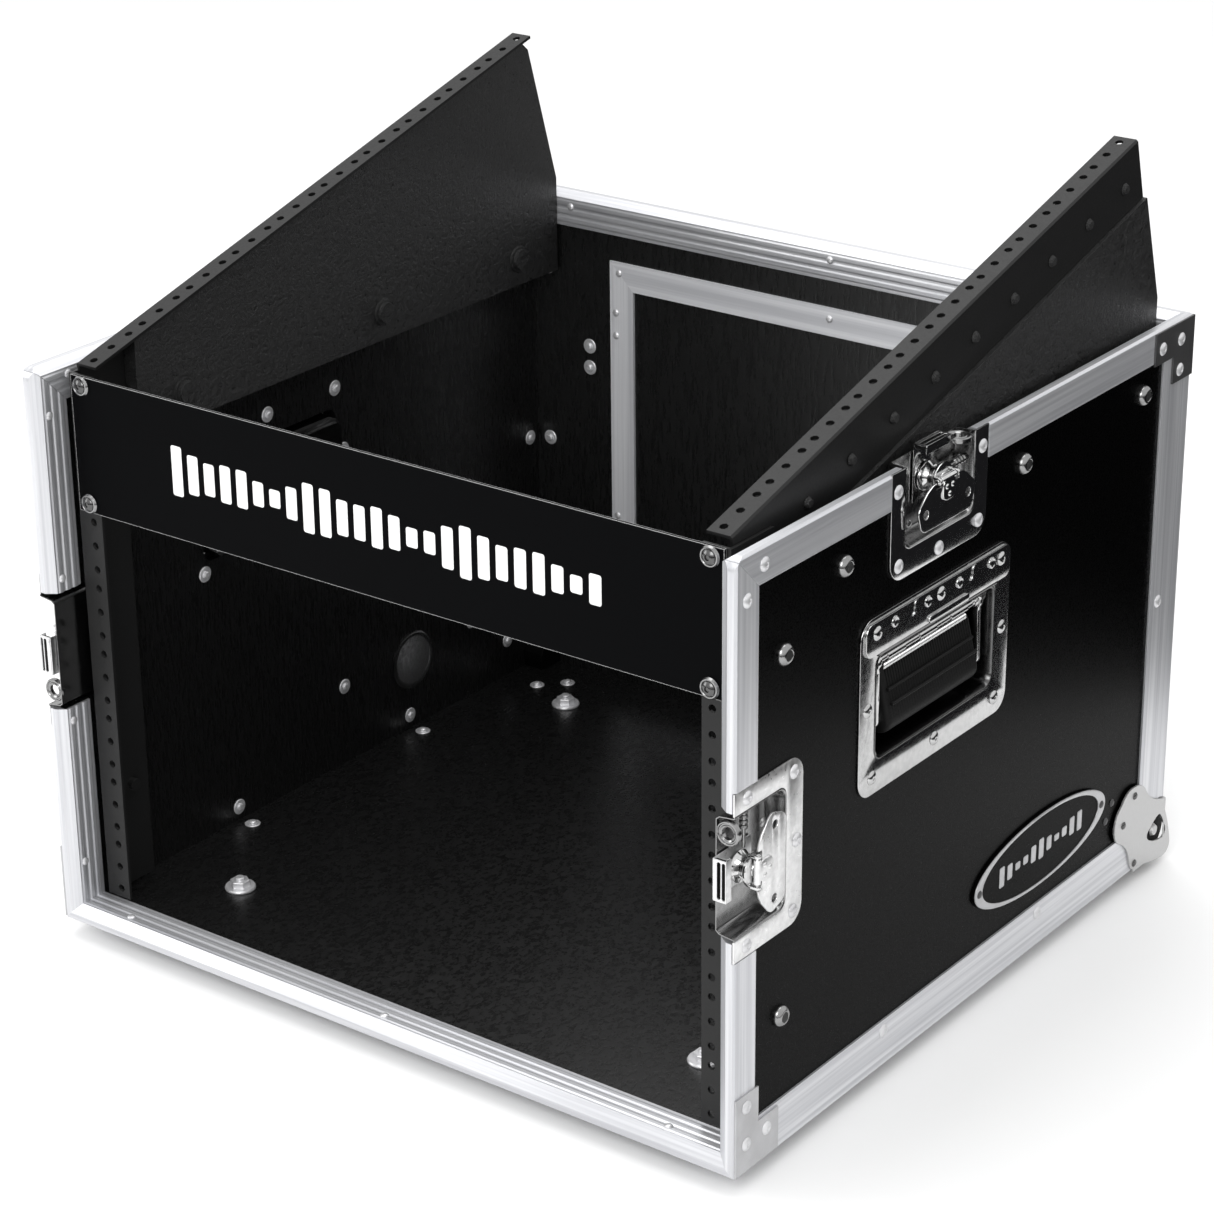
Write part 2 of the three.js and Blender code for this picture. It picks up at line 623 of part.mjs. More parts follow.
function wheel() {
  const { y, z, inner, outer, radius } = WHEEL;
  const tread = rod("x", radius, inner + 3, outer - 3, [y, z], 32);
  const shoulders = [
    rod("x", radius - 3, inner, inner + 3.1, [y, z], 32, radius),
    rod("x", radius, outer - 3.1, outer, [y, z], 32, radius - 3),
  ];
  const bore = rod("x", WHEEL.axle + 0.6, inner - 1, outer + 1, [y, z], 14);
  return cut(join(tread, ...shoulders), bore);
}

// ---------------------------------------------------------------- latches
// In a latch's own frame x runs along the rim, y goes in from the rim and z stands out of the panel.
const EYE = [-26.5, -4]; // padlock eye, which stands across the rim

function latchDish() {
  const { halfLength, depth, mouthHalf, mouthDepth, pocket, sheet } = LATCH;
  const flangeShape = new THREE.Shape();
  const round = 12;
  flangeShape.moveTo(-halfLength, 0);
  flangeShape.lineTo(halfLength, 0);
  flangeShape.absarc(halfLength - round, depth - round, round, 0, Math.PI / 2);
  flangeShape.absarc(-halfLength + round, depth - round, round, Math.PI / 2, Math.PI);
  const flange = prism(flangeShape, "z", 0.05, sheet);
  const outer = block(-mouthHalf - sheet, mouthHalf + sheet, 0, mouthDepth + sheet, -pocket, 0.5);
  const inner = block(-mouthHalf, mouthHalf, -5, mouthDepth, -pocket + sheet, 5);
  const eye = cut(rod("y", 7.4, 1, 3.4, EYE, 20), rod("y", 4, 0, 5, EYE, 14));
  return join(cut(join(flange, outer), inner), eye);
}

const WING = { hinge: 16, level: 5.3, plate: 1.4, barrel: 2, pin: 1, clip: 7.5 };

// Spindle through the hook plate, turning disc, and the two ears that hold the wing's pin.
function latchDrum() {
  const centre = [0, LATCH.spindle];
  const floor = -LATCH.pocket + LATCH.sheet;
  const disc = WING.level - WING.barrel - GAP;
  const ears = [-1, 1].map((side) => {
    const x = side * (WING.clip + 2);
    return block(x - 1, x + 1, WING.hinge - 2, WING.hinge + 2, disc - 1, WING.level + 2);
  });
  return join(
    rod("z", 3, floor + GAP, disc, centre, 14),
    rod("z", 9, floor + 3, -4, centre, 24, 6),
    rod("z", 6, -4.2, disc - 2, centre, 20),
    rod("z", 10.5, disc - 2.2, disc, centre, 28),
    rod("x", WING.pin, -WING.clip - 1.5, WING.clip + 1.5, [WING.hinge, WING.level], 10),
    ...ears,
  );
}

// The folding wing: a plate with cut corners that stands just proud of the dish, and its riveted clip.
function latchWing() {
  const { hinge, level, plate, barrel, pin, clip } = WING;
  const shape = new THREE.Shape();
  const behindClip = hinge + 3.6;
  shape.moveTo(9, behindClip);
  shape.lineTo(12, behindClip);
  shape.lineTo(12, hinge);
  shape.quadraticCurveTo(20, 17, 29, 26);
  shape.quadraticCurveTo(31, 28, 30, 34);
  shape.quadraticCurveTo(28, 43, 22, 43);
  shape.lineTo(-22, 43);
  shape.quadraticCurveTo(-28, 43, -30, 34);
  shape.quadraticCurveTo(-31, 28, -29, 26);
  shape.quadraticCurveTo(-20, 17, -12, hinge);
  shape.lineTo(-12, behindClip);
  shape.lineTo(-9, behindClip);
  const sheet = prism(shape, "z", level - plate / 2, level + plate / 2, 4);
  const tongue = prism(roundedRectangle(-6.5, 6.5, hinge, 29, 4), "z", level - plate / 2, level + 2, 3);
  const tube = rod("x", barrel, -clip, clip, [hinge, level], 14);
  return cut(join(sheet, tongue, tube), rod("x", pin + GAP, -clip - 1, clip + 1, [hinge, level], 10));
}

// The hook plate slides under the drum; its claw reaches over the rim into the lid's keeper.
function latchHook() {
  const floor = -LATCH.pocket + LATCH.sheet;
  const reach = FRONT_REACH;
  const plate = block(-13, 13, -reach, 38, floor + GAP, floor + GAP + 1.8);
  const claw = block(-13, 13, -reach, -reach + 2, floor + GAP, -1);
  const lip = block(-13, 13, -reach, -reach + 5, -2.6, -1);
  const slot = block(-3.5, 3.5, LATCH.spindle - 14, LATCH.spindle + 4, floor, -8);
  return cut(join(plate, claw, lip), slot);
}

// The same latch is turned half round for the left side, so its eye is at the other end (way is -1).
function latch(name, way) {
  const group = new THREE.Group();
  const dish = named(`${name}_dish`, latchDish(), CHROME);
  dish.scale.x = way;
  group.add(dish);
  group.add(named(`${name}_drum`, latchDrum(), CHROME));
  group.add(named(`${name}_wing`, latchWing(), CHROME));
  group.add(named(`${name}_hook`, latchHook(), CHROME));
  return group;
}

// ---------------------------------------------------------------- handle
// In the handle's own frame x runs to the rear, y goes up and z stands out of the panel.
const HANDLE_MOUTH = { half: 65, bottom: -35, top: 31 };
const BAIL = { y: 21, z: -7, half: 55, drop: 36, wire: 3.6, gripHalf: 49 };
const GRIP_HEEL = { y: -17, z: -8, radius: 9 };
const GRIP_EDGE = { y: 12, z: -9.5, radius: 3.5 };

function handleMouth(grow) {
  const { half, bottom, top } = HANDLE_MOUTH;
  return roundedRectangle(-half - grow, half + grow, bottom - grow, top + grow, 7);
}

function handleDish() {
  const { halfLength, halfHeight, pocket, sheet } = HANDLE;
  const rim = roundedRectangle(-halfLength, halfLength, -halfHeight, halfHeight, 12);
  const flange = prism(rim, "z", 0.05, sheet);
  const cover = prism(roundedRectangle(-78, 78, 32, 53, 5), "z", 0.5, 3.2, 3);
  const tub = prism(handleMouth(sheet), "z", -pocket, 0.5, 3);
  const hollow = prism(handleMouth(0), "z", -pocket + sheet, 9, 3);
  const bearings = [-1, 1].map((side) => {
    const x = side * (HANDLE_MOUTH.half - 2);
    return rod("x", 2.4, x - 2.5, x + 2.5, [BAIL.y, BAIL.z], 12);
  });
  return join(cut(join(flange, tub, cover), hollow), ...bearings);
}

// The grip in section: round at its heel, thin at its upper edge.
function gripShape() {
  const rise = GRIP_EDGE.y - GRIP_HEEL.y;
  const back = GRIP_EDGE.z - GRIP_HEEL.z;
  const lean = Math.atan2(back, rise);
  const span = Math.acos((GRIP_HEEL.radius - GRIP_EDGE.radius) / Math.hypot(rise, back));
  const shape = new THREE.Shape();
  shape.absarc(GRIP_HEEL.y, GRIP_HEEL.z, GRIP_HEEL.radius, lean + span, lean - span + 2 * Math.PI);
  shape.absarc(GRIP_EDGE.y, GRIP_EDGE.z, GRIP_EDGE.radius, lean - span, lean + span);
  return shape;
}

// Bail hanging from its two pivots, with the grip moulded over its crossbar.
function handleBail() {
  const { y, z, half, drop, wire, gripHalf } = BAIL;
  const bar = y - drop;
  const arms = [-1, 1].map((side) => {
    const x = side * half;
    return join(
      block(x - wire, x + wire, bar, y, z - wire, z + wire),
      rod("x", wire + 1.2, x - wire, x + wire, [y, z], 16),
    );
  });
  const sockets = [-1, 1].map((side) => {
    const x = side * half;
    return rod("x", 2.8, x - wire - 1, x + wire + 1, [y, z], 12);
  });
  const crossbar = rod("x", wire, -half, half, [bar, z], 16);
  const grip = prism(gripShape(), "x", -gripHalf, gripHalf, 10);
  return cut(join(...arms, crossbar, grip), ...sockets);
}

function handle(name) {
  const group = new THREE.Group();
  group.add(named(`${name}_dish`, handleDish(), CHROME));
  group.add(named(`${name}_bail`, handleBail(), RUBBER));
  return group;
}

// ---------------------------------------------------------------- feet, badge, door catch
function footPlaces() {
  return [-1, 1].flatMap((side) => [FEET.front, FEET.rear].map((y) => [side * FEET.x, y]));
}

function foot(y) {
  const centre = [FEET.x, y];
  const floor = SKIN + PLY;
  const underside = SKIN - GAP;
  return join(
    rod("z", FEET.radius - 3, -FOOT_HEIGHT, underside, centre, 28, FEET.radius),
    rod("z", 3, -2, floor + 7, centre, 12),
    rod("z", WASHER.radius, floor + GAP, floor + GAP + WASHER.height, centre, 20),
    rod("z", 5.5, floor + 1, floor + 6, centre, 6),
  );
}

function badge() {
  const shape = new THREE.Shape();
  shape.absellipse(0, 0, 81, 25, 0, 2 * Math.PI);
  return prism(shape, "x", PANEL_OUT + 0.1, PANEL_OUT + 1.6, 20).translate(0, 336.5, 68);
}

// Bracket on the door: two ears and the pin that the catch's lever swings on.
function catchEars(z) {
  const { x, half, barrel, pin } = CATCH;
  const ears = [-1, 1].map((side) => {
    const z0 = z + side * (half + 1.2 + GAP);
    return block(x - barrel, x + barrel, DOOR_FACE - 0.5, CATCH_Y + barrel, z0 - 1.2, z0 + 1.2);
  });
  return [...ears, rod("z", pin, z - half - 1, z + half + 1, [x, CATCH_Y], 10)];
}

// Over-centre lever; its claw comes down over the keeper beside the door.
function catchLever(z) {
  const { x, reach, half, barrel, pin } = CATCH;
  const plate = block(x - reach, x, CATCH_Y - 0.8, CATCH_Y + 0.8, z - half, z + half);
  const claw = block(x - reach, x - reach + 1.6, DEPTH + 1.2, CATCH_Y, z - half + 5, z + half - 5);
  const tube = rod("z", barrel, z - half, z + half, [x, CATCH_Y], 14);
  const bore = rod("z", pin + GAP, z - half - 1, z + half + 1, [x, CATCH_Y], 10);
  return cut(join(plate, claw, tube), bore);
}

// ---------------------------------------------------------------- assembly
function facing(...axes) {
  return new THREE.Matrix4().makeBasis(...axes.map((axis) => new THREE.Vector3(...axis)));
}

// Everything that both sides have, built on the right; the left side is its mirror image.
function side(word) {
  const group = new THREE.Group();
  const add = (name, geometry, material) => group.add(named(`${name}_${word}`, geometry, material));
  add("side_panel", sidePanel(), LAMINATE);
  add("front_extrusion", frontExtrusion(), ALUMINIUM);
  add("top_extrusion", topExtrusion(), ALUMINIUM);
  add("bottom_angle", bottomAngle(), ALUMINIUM);
  add("rear_angle", rearAngle(), ALUMINIUM);
  add("upright_rail", uprightRail(), RAIL_STEEL);
  add("slant_plate", slantPlate(), BLACK_STEEL);
  add("front_bracket", frontBracket(), CHROME);
  add("rear_bracket", rearBracket(), CHROME);
  add("wheel_housing", wheelHousing(), ALUMINIUM);
  add("wheel", wheel(), RUBBER);
  add("front_foot", foot(FEET.front), RUBBER);
  add("rear_foot", foot(FEET.rear), RUBBER);

  const rail = named(`slant_rail_${word}`, slantRail(), RAIL_STEEL);
  rail.position.set(0, SLANT_START.y, SLANT_START.z);
  rail.rotation.x = SLANT_ANGLE;
  group.add(rail);

  const way = word === "left" ? -1 : 1;
  const frontLatch = latch(`front_latch_${word}`, way);
  frontLatch.position.set(PANEL_OUT, 0, FRONT_LATCH_Z);
  frontLatch.setRotationFromMatrix(facing([0, 0, -1], [0, 1, 0], [1, 0, 0]));
  const topLatch = latch(`top_latch_${word}`, way);
  topLatch.position.set(PANEL_OUT, TOP_LATCH_Y, HEIGHT);
  topLatch.setRotationFromMatrix(facing([0, -1, 0], [0, 0, -1], [1, 0, 0]));
  const sideHandle = handle(`handle_${word}`);
  sideHandle.position.set(PANEL_OUT, HANDLE.y, HANDLE.z);
  sideHandle.setRotationFromMatrix(facing([0, 1, 0], [0, 0, 1], [1, 0, 0]));
  return group.add(frontLatch, topLatch, sideHandle);
}

const body = new THREE.Group();
const left = side("left");
left.scale.x = -1;
body.add(side("right"), left);
body.add(named("bottom_panel", bottomPanel(), LAMINATE));
body.add(named("rear_panel", rearPanel(), LAMINATE));
body.add(named("front_extrusion_lower", lowerFrontExtrusion(), ALUMINIUM));
body.add(named("top_extrusion_rear", rearTopExtrusion(), ALUMINIUM));
body.add(named("rear_bottom_angle", rearBottomAngle(), ALUMINIUM));
body.add(named("door_frame", doorFrame(), ALUMINIUM));
body.add(named("access_door", accessDoor(), LAMINATE));
const fixedLeaf = hingeHalf(0, HINGE.x, HINGE.x + HINGE.leaf, DEPTH - SKIN, HINGE.y - 1);
body.add(named("door_hinge", fixedLeaf, ALUMINIUM));
body.add(named("door_catch_lower", catchLever(CATCH_HEIGHTS[0]), CHROME));
body.add(named("door_catch_upper", catchLever(CATCH_HEIGHTS[1]), CHROME));
body.add(named("blank_panel", blankPanel(), BLACK_STEEL));
body.add(named("badge", badge(), BLACK_STEEL));
body.position.set(0, -CENTRE_Y, FOOT_HEIGHT);

export default new THREE.Group().add(body);
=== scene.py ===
"""Looks of the equipment rack case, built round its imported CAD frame. Blender 4.5, metres."""
import math

import bmesh
import bpy
from mathutils import Matrix, Vector


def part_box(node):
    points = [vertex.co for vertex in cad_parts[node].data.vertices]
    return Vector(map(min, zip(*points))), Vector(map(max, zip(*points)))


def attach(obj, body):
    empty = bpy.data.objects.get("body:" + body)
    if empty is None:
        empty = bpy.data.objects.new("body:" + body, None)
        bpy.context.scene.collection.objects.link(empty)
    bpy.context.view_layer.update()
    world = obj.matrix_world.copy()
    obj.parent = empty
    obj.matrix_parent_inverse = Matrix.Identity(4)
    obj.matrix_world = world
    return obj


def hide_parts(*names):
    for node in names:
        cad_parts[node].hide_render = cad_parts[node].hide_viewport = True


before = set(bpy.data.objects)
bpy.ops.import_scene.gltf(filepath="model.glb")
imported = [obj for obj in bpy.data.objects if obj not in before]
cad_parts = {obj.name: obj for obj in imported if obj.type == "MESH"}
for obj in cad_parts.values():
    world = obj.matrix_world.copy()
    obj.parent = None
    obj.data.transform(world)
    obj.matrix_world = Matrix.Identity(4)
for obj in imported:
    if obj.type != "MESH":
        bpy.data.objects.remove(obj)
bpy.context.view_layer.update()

# -------------------- driving dimensions
# Shapes are written in millimetres, in the case's own frame: x = 0 in the middle, y = 0 at the front
# rim, z = 0 under the body. The frame's own boxes give where that is and how large the body is.
MM = 0.001
RIM_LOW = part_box("front_extrusion_lower")[0]
RIM_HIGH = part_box("top_extrusion_rear")[1]
HALF_WIDTH = RIM_HIGH.x / MM
DEPTH = (RIM_HIGH.y - RIM_LOW.y) / MM
HEIGHT = (RIM_HIGH.z - RIM_LOW.z) / MM
PANEL_LOW, PANEL_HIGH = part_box("side_panel_right")
PANEL_OUT = PANEL_HIGH.x / MM
PANEL_IN = PANEL_LOW.x / MM
REAR_IN = (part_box("rear_panel")[0].y - RIM_LOW.y) / MM
FLOOR_TOP = (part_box("bottom_panel")[1].z - RIM_LOW.z) / MM
BLANK_FACE = (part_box("upright_rail_right")[0].y - RIM_LOW.y) / MM - 2

CASE = Matrix.Translation((0, RIM_LOW.y, RIM_LOW.z)) @ Matrix.Scale(MM, 4)
SIDES = (("right", 1), ("left", -1))


def middle(node):
    """Middle of a CAD node's box in the case's own frame."""
    low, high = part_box(node)
    return CASE.inverted() @ ((low + high) / 2)


FRONT_LATCH_Z = middle("front_latch_right_dish").z
TOP_LATCH_Y = middle("top_latch_right_dish").y
HANDLE_AT = middle("handle_right_dish")
BADGE_AT = middle("badge")


# -------------------- materials
class Shader:
    """A Principled material with the few nodes that the finishes share."""

    def __init__(self, name, color, metallic, roughness):
        self.material = bpy.data.materials.new(name)
        self.material.use_nodes = True
        self.tree = self.material.node_tree
        self.bsdf = self.tree.nodes["Principled BSDF"]
        self.bsdf.inputs["Base Color"].default_value = (*color, 1)
        self.bsdf.inputs["Metallic"].default_value = metallic
        self.bsdf.inputs["Roughness"].default_value = roughness
        self.coordinates = self.add("ShaderNodeTexCoord").outputs["Object"]

    def add(self, kind, **settings):
        node = self.tree.nodes.new(kind)
        for key, value in settings.items():
            setattr(node, key, value)
        return node

    def link(self, output, socket):
        self.tree.links.new(output, socket)

    def set_gloss(self, level):
        self.bsdf.inputs["Specular IOR Level"].default_value = level

    def place(self):
        """The three object coordinates, by the names X, Y and Z."""
        split = self.add("ShaderNodeSeparateXYZ")
        self.link(self.coordinates, split.inputs[0])
        return split.outputs

    def compute(self, operation, *values):
        """A maths node whose inputs are numbers or other nodes' outputs."""
        node = self.add("ShaderNodeMath", operation=operation)
        for socket, value in zip(node.inputs, values):
            if isinstance(value, (int, float)):
                socket.default_value = value
            else:
                self.link(value, socket)
        return node.outputs[0]

    def noise(self, frequency, detail=2.0, roughness=0.5):
        """Noise of one frequency, per metre, or of three that differ along x, y and z."""
        if isinstance(frequency, (int, float)):
            frequency = (frequency,) * 3
        mapping = self.add("ShaderNodeMapping")
        mapping.inputs["Scale"].default_value = frequency
        self.link(self.coordinates, mapping.inputs["Vector"])
        noise = self.add("ShaderNodeTexNoise")
        noise.inputs["Scale"].default_value = 1.0
        noise.inputs["Detail"].default_value = detail
        noise.inputs["Roughness"].default_value = roughness
        self.link(mapping.outputs["Vector"], noise.inputs["Vector"])
        return noise.outputs["Fac"]

    def spread(self, value, low, high, start=0.3, end=0.7):
        """Maps the middle of a noise onto low to high."""
        ranged = self.add("ShaderNodeMapRange")
        for socket, number in zip(("From Min", "From Max", "To Min", "To Max"), (start, end, low, high)):
            ranged.inputs[socket].default_value = number
        self.link(value, ranged.inputs["Value"])
        return ranged.outputs["Result"]

    def pick(self, mask, first, second):
        """The second value where the mask is 1, and the first where it is 0."""
        mix = self.add("ShaderNodeMix", data_type="FLOAT")
        self.link(mask, mix.inputs[0])
        self.link(first, mix.inputs[2])
        self.link(second, mix.inputs[3])
        return mix.outputs[0]

    def vary_roughness(self, value, low, high):
        self.link(self.spread(value, low, high), self.bsdf.inputs["Roughness"])

    def blend_color(self, mask, first, second):
        """Base colour: the second where the mask is 1, and the first where it is 0."""
        mix = self.add("ShaderNodeMix", data_type="RGBA")
        mix.inputs[6].default_value = (*first, 1)
        mix.inputs[7].default_value = (*second, 1)
        self.link(mask, mix.inputs[0])
        self.link(mix.outputs[2], self.bsdf.inputs["Base Color"])

    def vary_color(self, value, dark, light):
        self.blend_color(self.spread(value, 0, 1), dark, light)

    def bump(self, value, strength, distance, soften=0.0):
        node = self.add("ShaderNodeBump")
        node.inputs["Strength"].default_value = strength
        node.inputs["Distance"].default_value = distance * MM
        self.link(value, node.inputs["Height"])
        if soften:
            bevel = self.add("ShaderNodeBevel", samples=4)
            bevel.inputs["Radius"].default_value = soften * MM
            self.link(bevel.outputs["Normal"], node.inputs["Normal"])
        self.link(node.outputs["Normal"], self.bsdf.inputs["Normal"])


def grey(value):
    return (value, value, value)


def grain(shader, axis, across, along):
    """Noise drawn out along one axis."""
    return shader.noise([along if i == axis else across for i in range(3)])


def past_mitre(shader, reach, end_axis, end_middle, end_reach):
    """1 on the lengths at the left and right, beyond the 45-degree mitres, and 0 elsewhere."""
    place = shader.place()

    def inset(output, centre, half):
        from_middle = shader.compute("ABSOLUTE", shader.compute("SUBTRACT", output, centre))
        return shader.compute("SUBTRACT", half, from_middle)

    sideways = inset(place["X"], 0, reach)
    endways = inset(place[end_axis], end_middle, end_reach)
    return shader.compute("LESS_THAN", sideways, endways)


def drawn_aluminium(name, axis, other_axis=None, mitre=(), metallic=0.7):
    """Satin extrusion with fine lines along its length; past a mitre they run along another axis."""
    shader = Shader(name, (0.74, 0.745, 0.76), metallic, 0.38)
    lines = grain(shader, axis, 330, 4)
    hair = grain(shader, axis, 2300, 8)
    if mitre:
        mask = past_mitre(shader, *mitre)
        lines = shader.pick(mask, lines, grain(shader, other_axis, 330, 4))
        hair = shader.pick(mask, hair, grain(shader, other_axis, 2300, 8))
    shader.vary_color(lines, (0.50, 0.505, 0.53), (0.72, 0.725, 0.745))
    shader.vary_roughness(hair, 0.30, 0.44)
    shader.bump(hair, 0.10, 0.05, soften=0.5)
    return shader.material


def laminate(name, outward):
    """Black laminate: smooth and semi-gloss outside, with a worn-looking grain inside."""
    shader = Shader(name, grey(0.0008), 0, 0.3)
    shader.set_gloss(0.04)
    fine = shader.noise(900, 2)
    shader.vary_roughness(fine, 0.24, 0.32)
    shader.bump(fine, 0.05, 0.02)
    inside = shader.add("ShaderNodeBsdfPrincipled")
    inside.inputs["Base Color"].default_value = (*grey(0.0035), 1)
    inside.inputs["Specular IOR Level"].default_value = 0.5
    upright = abs(outward[2]) < 0.5
    veneer = shader.noise((420, 420, 70) if upright else (330, 210, 330), 6, 0.7)
    shader.link(shader.spread(veneer, 0.14, 0.44), inside.inputs["Roughness"])
    relief = shader.add("ShaderNodeBump")
    relief.inputs["Strength"].default_value = 0.5
    relief.inputs["Distance"].default_value = 0.45 * MM
    shader.link(veneer, relief.inputs["Height"])
    shader.link(relief.outputs["Normal"], inside.inputs["Normal"])
    geometry = shader.add("ShaderNodeNewGeometry")
    facing = shader.add("ShaderNodeVectorMath", operation="DOT_PRODUCT")
    facing.inputs[1].default_value = outward
    shader.link(geometry.outputs["Normal"], facing.inputs[0])
    mix = shader.add("ShaderNodeMixShader")
    shader.link(shader.spread(facing.outputs["Value"], 0, 1, 0.4, 0.6), mix.inputs[0])
    shader.link(inside.outputs[0], mix.inputs[1])
    shader.link(shader.bsdf.outputs[0], mix.inputs[2])
    output = shader.tree.nodes["Material Output"]
    shader.link(mix.outputs[0], output.inputs["Surface"])
    return shader.material


def plated_steel(name, tone, rough):
    """Bright plating with the slight waviness of pressed sheet."""
    shader = Shader(name, grey(tone), 1, rough)
    shader.vary_color(shader.noise(260, 4), grey(tone * 0.9), grey(min(tone * 1.08, 0.95)))
    shader.vary_roughness(shader.noise(350, 4), rough * 0.75, rough * 1.3)
    shader.bump(shader.noise(70, 1), 0.10, 0.3)
    return shader.material


def add_pressed_relief(shader):
    """Roughness and waviness of a pressing, with its edges slightly rounded."""
    shader.vary_roughness(shader.noise(500, 3), 0.28, 0.40)
    shader.bump(shader.noise(90, 2), 0.12, 0.3, soften=0.6)


def pressed_metal(name, tone, metallic=0.8):
    """Zinc-plated pressing: duller than the latches' plating."""
    shader = Shader(name, grey(tone), metallic, 0.3)
    dark, light = (tuple(c * tone for c in (share, share, share * 1.02)) for share in (0.9, 1.08))
    shader.vary_color(shader.noise(60, 3), dark, light)
    add_pressed_relief(shader)
    return shader.material


def powder_coat(name, color, low, high, gloss=0.5):
    """Sprayed coat with a fine orange peel."""
    shader = Shader(name, color, 0, (low + high) / 2)
    shader.set_gloss(gloss)
    shader.vary_roughness(shader.noise(600, 3), low, high)
    shader.bump(shader.noise(1500, 2), 0.18, 0.08, soften=0.4)
    return shader.material


def coat_with_edge_highlight(name, color):
    """Flat coat with a painted highlight along the sheet's edges, where the bevel normal turns away from the
    face.
    """
    shader = Shader(name, color, 0, 0.45)
    shader.set_gloss(0.02)
    bevel = shader.add("ShaderNodeBevel", samples=6)
    bevel.inputs["Radius"].default_value = 0.7 * MM
    geometry = shader.add("ShaderNodeNewGeometry")
    turned = shader.add("ShaderNodeVectorMath", operation="DOT_PRODUCT")
    shader.link(bevel.outputs["Normal"], turned.inputs[0])
    shader.link(geometry.outputs["Normal"], turned.inputs[1])
    # Light grey where the bevel normal turns from the face: a painted edge highlight.
    shader.blend_color(shader.spread(turned.outputs["Value"], 0, 1, 0.86, 0.97), grey(0.55), color)
    shader.vary_roughness(shader.noise(600, 3), 0.40, 0.52)
    return shader.material


def stained_board(name):
    """Black board with a leathery grain and a soft sheen."""
    shader = Shader(name, grey(0.005), 0, 0.45)
    hide = shader.noise((300, 220, 220), 6, 0.75)
    shader.vary_color(hide, grey(0.001), grey(0.012))
    shader.vary_roughness(hide, 0.2, 0.55)
    shader.bump(hide, 1.0, 1.6, soften=0.6)
    return shader.material


def wheel_corner(name):
    """Pressed zinc outside, with its pocket behind the panels coloured near black as painted shade."""
    zinc, pocket_shade = grey(0.5), grey(0.004)
    shader = Shader(name, zinc, 0.8, 0.34)
    place = shader.place()
    reach = shader.compute("ABSOLUTE", place["X"])
    above = shader.spread(place["Z"], 0, 1, RIM_LOW.z, RIM_LOW.z + 0.2 * MM)
    ahead = shader.spread(place["Y"], 1, 0, RIM_HIGH.y - 9 * MM, RIM_HIGH.y - 8 * MM)
    inward = shader.spread(reach, 1, 0, (PANEL_OUT - 0.5) * MM, PANEL_OUT * MM)
    pocket = shader.compute("MULTIPLY", shader.compute("MULTIPLY", inward, ahead), above)
    # Inside the pocket the zinc is coloured near black: painted shade of the recess.
    shader.blend_color(pocket, zinc, pocket_shade)
    add_pressed_relief(shader)
    return shader.material


def moulded_rubber(name):
    shader = Shader(name, grey(0.0025), 0, 0.6)
    shader.set_gloss(0.2)
    shader.vary_roughness(shader.noise(900, 3), 0.5, 0.72)
    shader.bump(shader.noise(1800, 2), 0.15, 0.06)
    return shader.material


def print_white(name):
    shader = Shader(name, grey(0.82), 0, 0.45)
    shader.vary_roughness(shader.noise(700, 2), 0.4, 0.52)
    return shader.material


ALUMINIUM = [drawn_aluminium(f"drawn_aluminium_{axis}", i) for i, axis in enumerate("xyz")]
FAR = 10  # metres past the open end of a rim that is mitred at its other end only
LOW_EDGING = drawn_aluminium("low_edging", 0, 2, (HALF_WIDTH * MM, "Z", FAR, FAR - RIM_LOW.z))
REAR_EDGING = drawn_aluminium("rear_edging", 0, 1, (HALF_WIDTH * MM, "Y", -FAR, FAR + RIM_HIGH.y))
CHROME = plated_steel("plated_steel", 0.64, 0.12)
SATIN_CHROME = plated_steel("plated_satin", 0.8, 0.34)
HANDLE_CHROME = plated_steel("plated_handle", 0.52, 0.16)
# Darker copy of the plating: in the latch tubs it is painted shade of the recess, and on the screws, washers
# and fittings a duller tone.
DULL_AND_SHADED_CHROME = plated_steel("plated_recess", 0.3, 0.2)
# Near-black plating: in the handle tubs it is painted shade of the recess, and on the cheek rivets and rack
# screws a dark tone.
DARK_AND_SHADED_CHROME = plated_steel("plated_dark", 0.12, 0.2)
CHEEK = pressed_metal("pressed_zinc", 0.5)
RIVET = pressed_metal("rivet_zinc", 0.66, 0.6)
BRACKET = pressed_metal("bracket_zinc", 0.08, 0.6)
RAIL = powder_coat("rail_powder_coat", grey(0.008), 0.36, 0.5, gloss=0.3)
BLANK = coat_with_edge_highlight("blank_coat", (0.0018, 0.0019, 0.0022))
BOARD = stained_board("stained_board")
RUBBER = moulded_rubber("moulded_rubber")
WHITE = print_white("printed_white")
SILVER = pressed_metal("badge_silver", 0.5)
BADGE_FIELD = powder_coat("badge_field", grey(0.002), 0.25, 0.35, gloss=0.03)


# -------------------- mesh building
def add_piece(name, mesh, material, body, transform, sharp=35):
    """Puts a mesh drawn in millimetres in place, as one piece that rides on a body."""
    work = bmesh.new()
    work.from_mesh(mesh)
    bmesh.ops.transform(work, matrix=CASE @ transform, verts=work.verts)
    if transform.determinant() < 0:
        bmesh.ops.reverse_faces(work, faces=work.faces)
    placed = bpy.data.meshes.new(name)
    work.to_mesh(placed)
    work.free()
    placed.polygons.foreach_set("use_smooth", [True] * len(placed.polygons))
    placed.set_sharp_from_angle(angle=math.radians(sharp))
    placed.materials.clear()
    placed.materials.append(material)
    piece = bpy.data.objects.new(name, placed)
    bpy.context.scene.collection.objects.link(piece)
    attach(piece, body)
    return piece


def mesh_from(work):
    """Closes a bmesh into a mesh, with its faces turned outwards."""
    bmesh.ops.recalc_face_normals(work, faces=work.faces)
    mesh = bpy.data.meshes.new("draft")
    work.to_mesh(mesh)
    work.free()
    return mesh


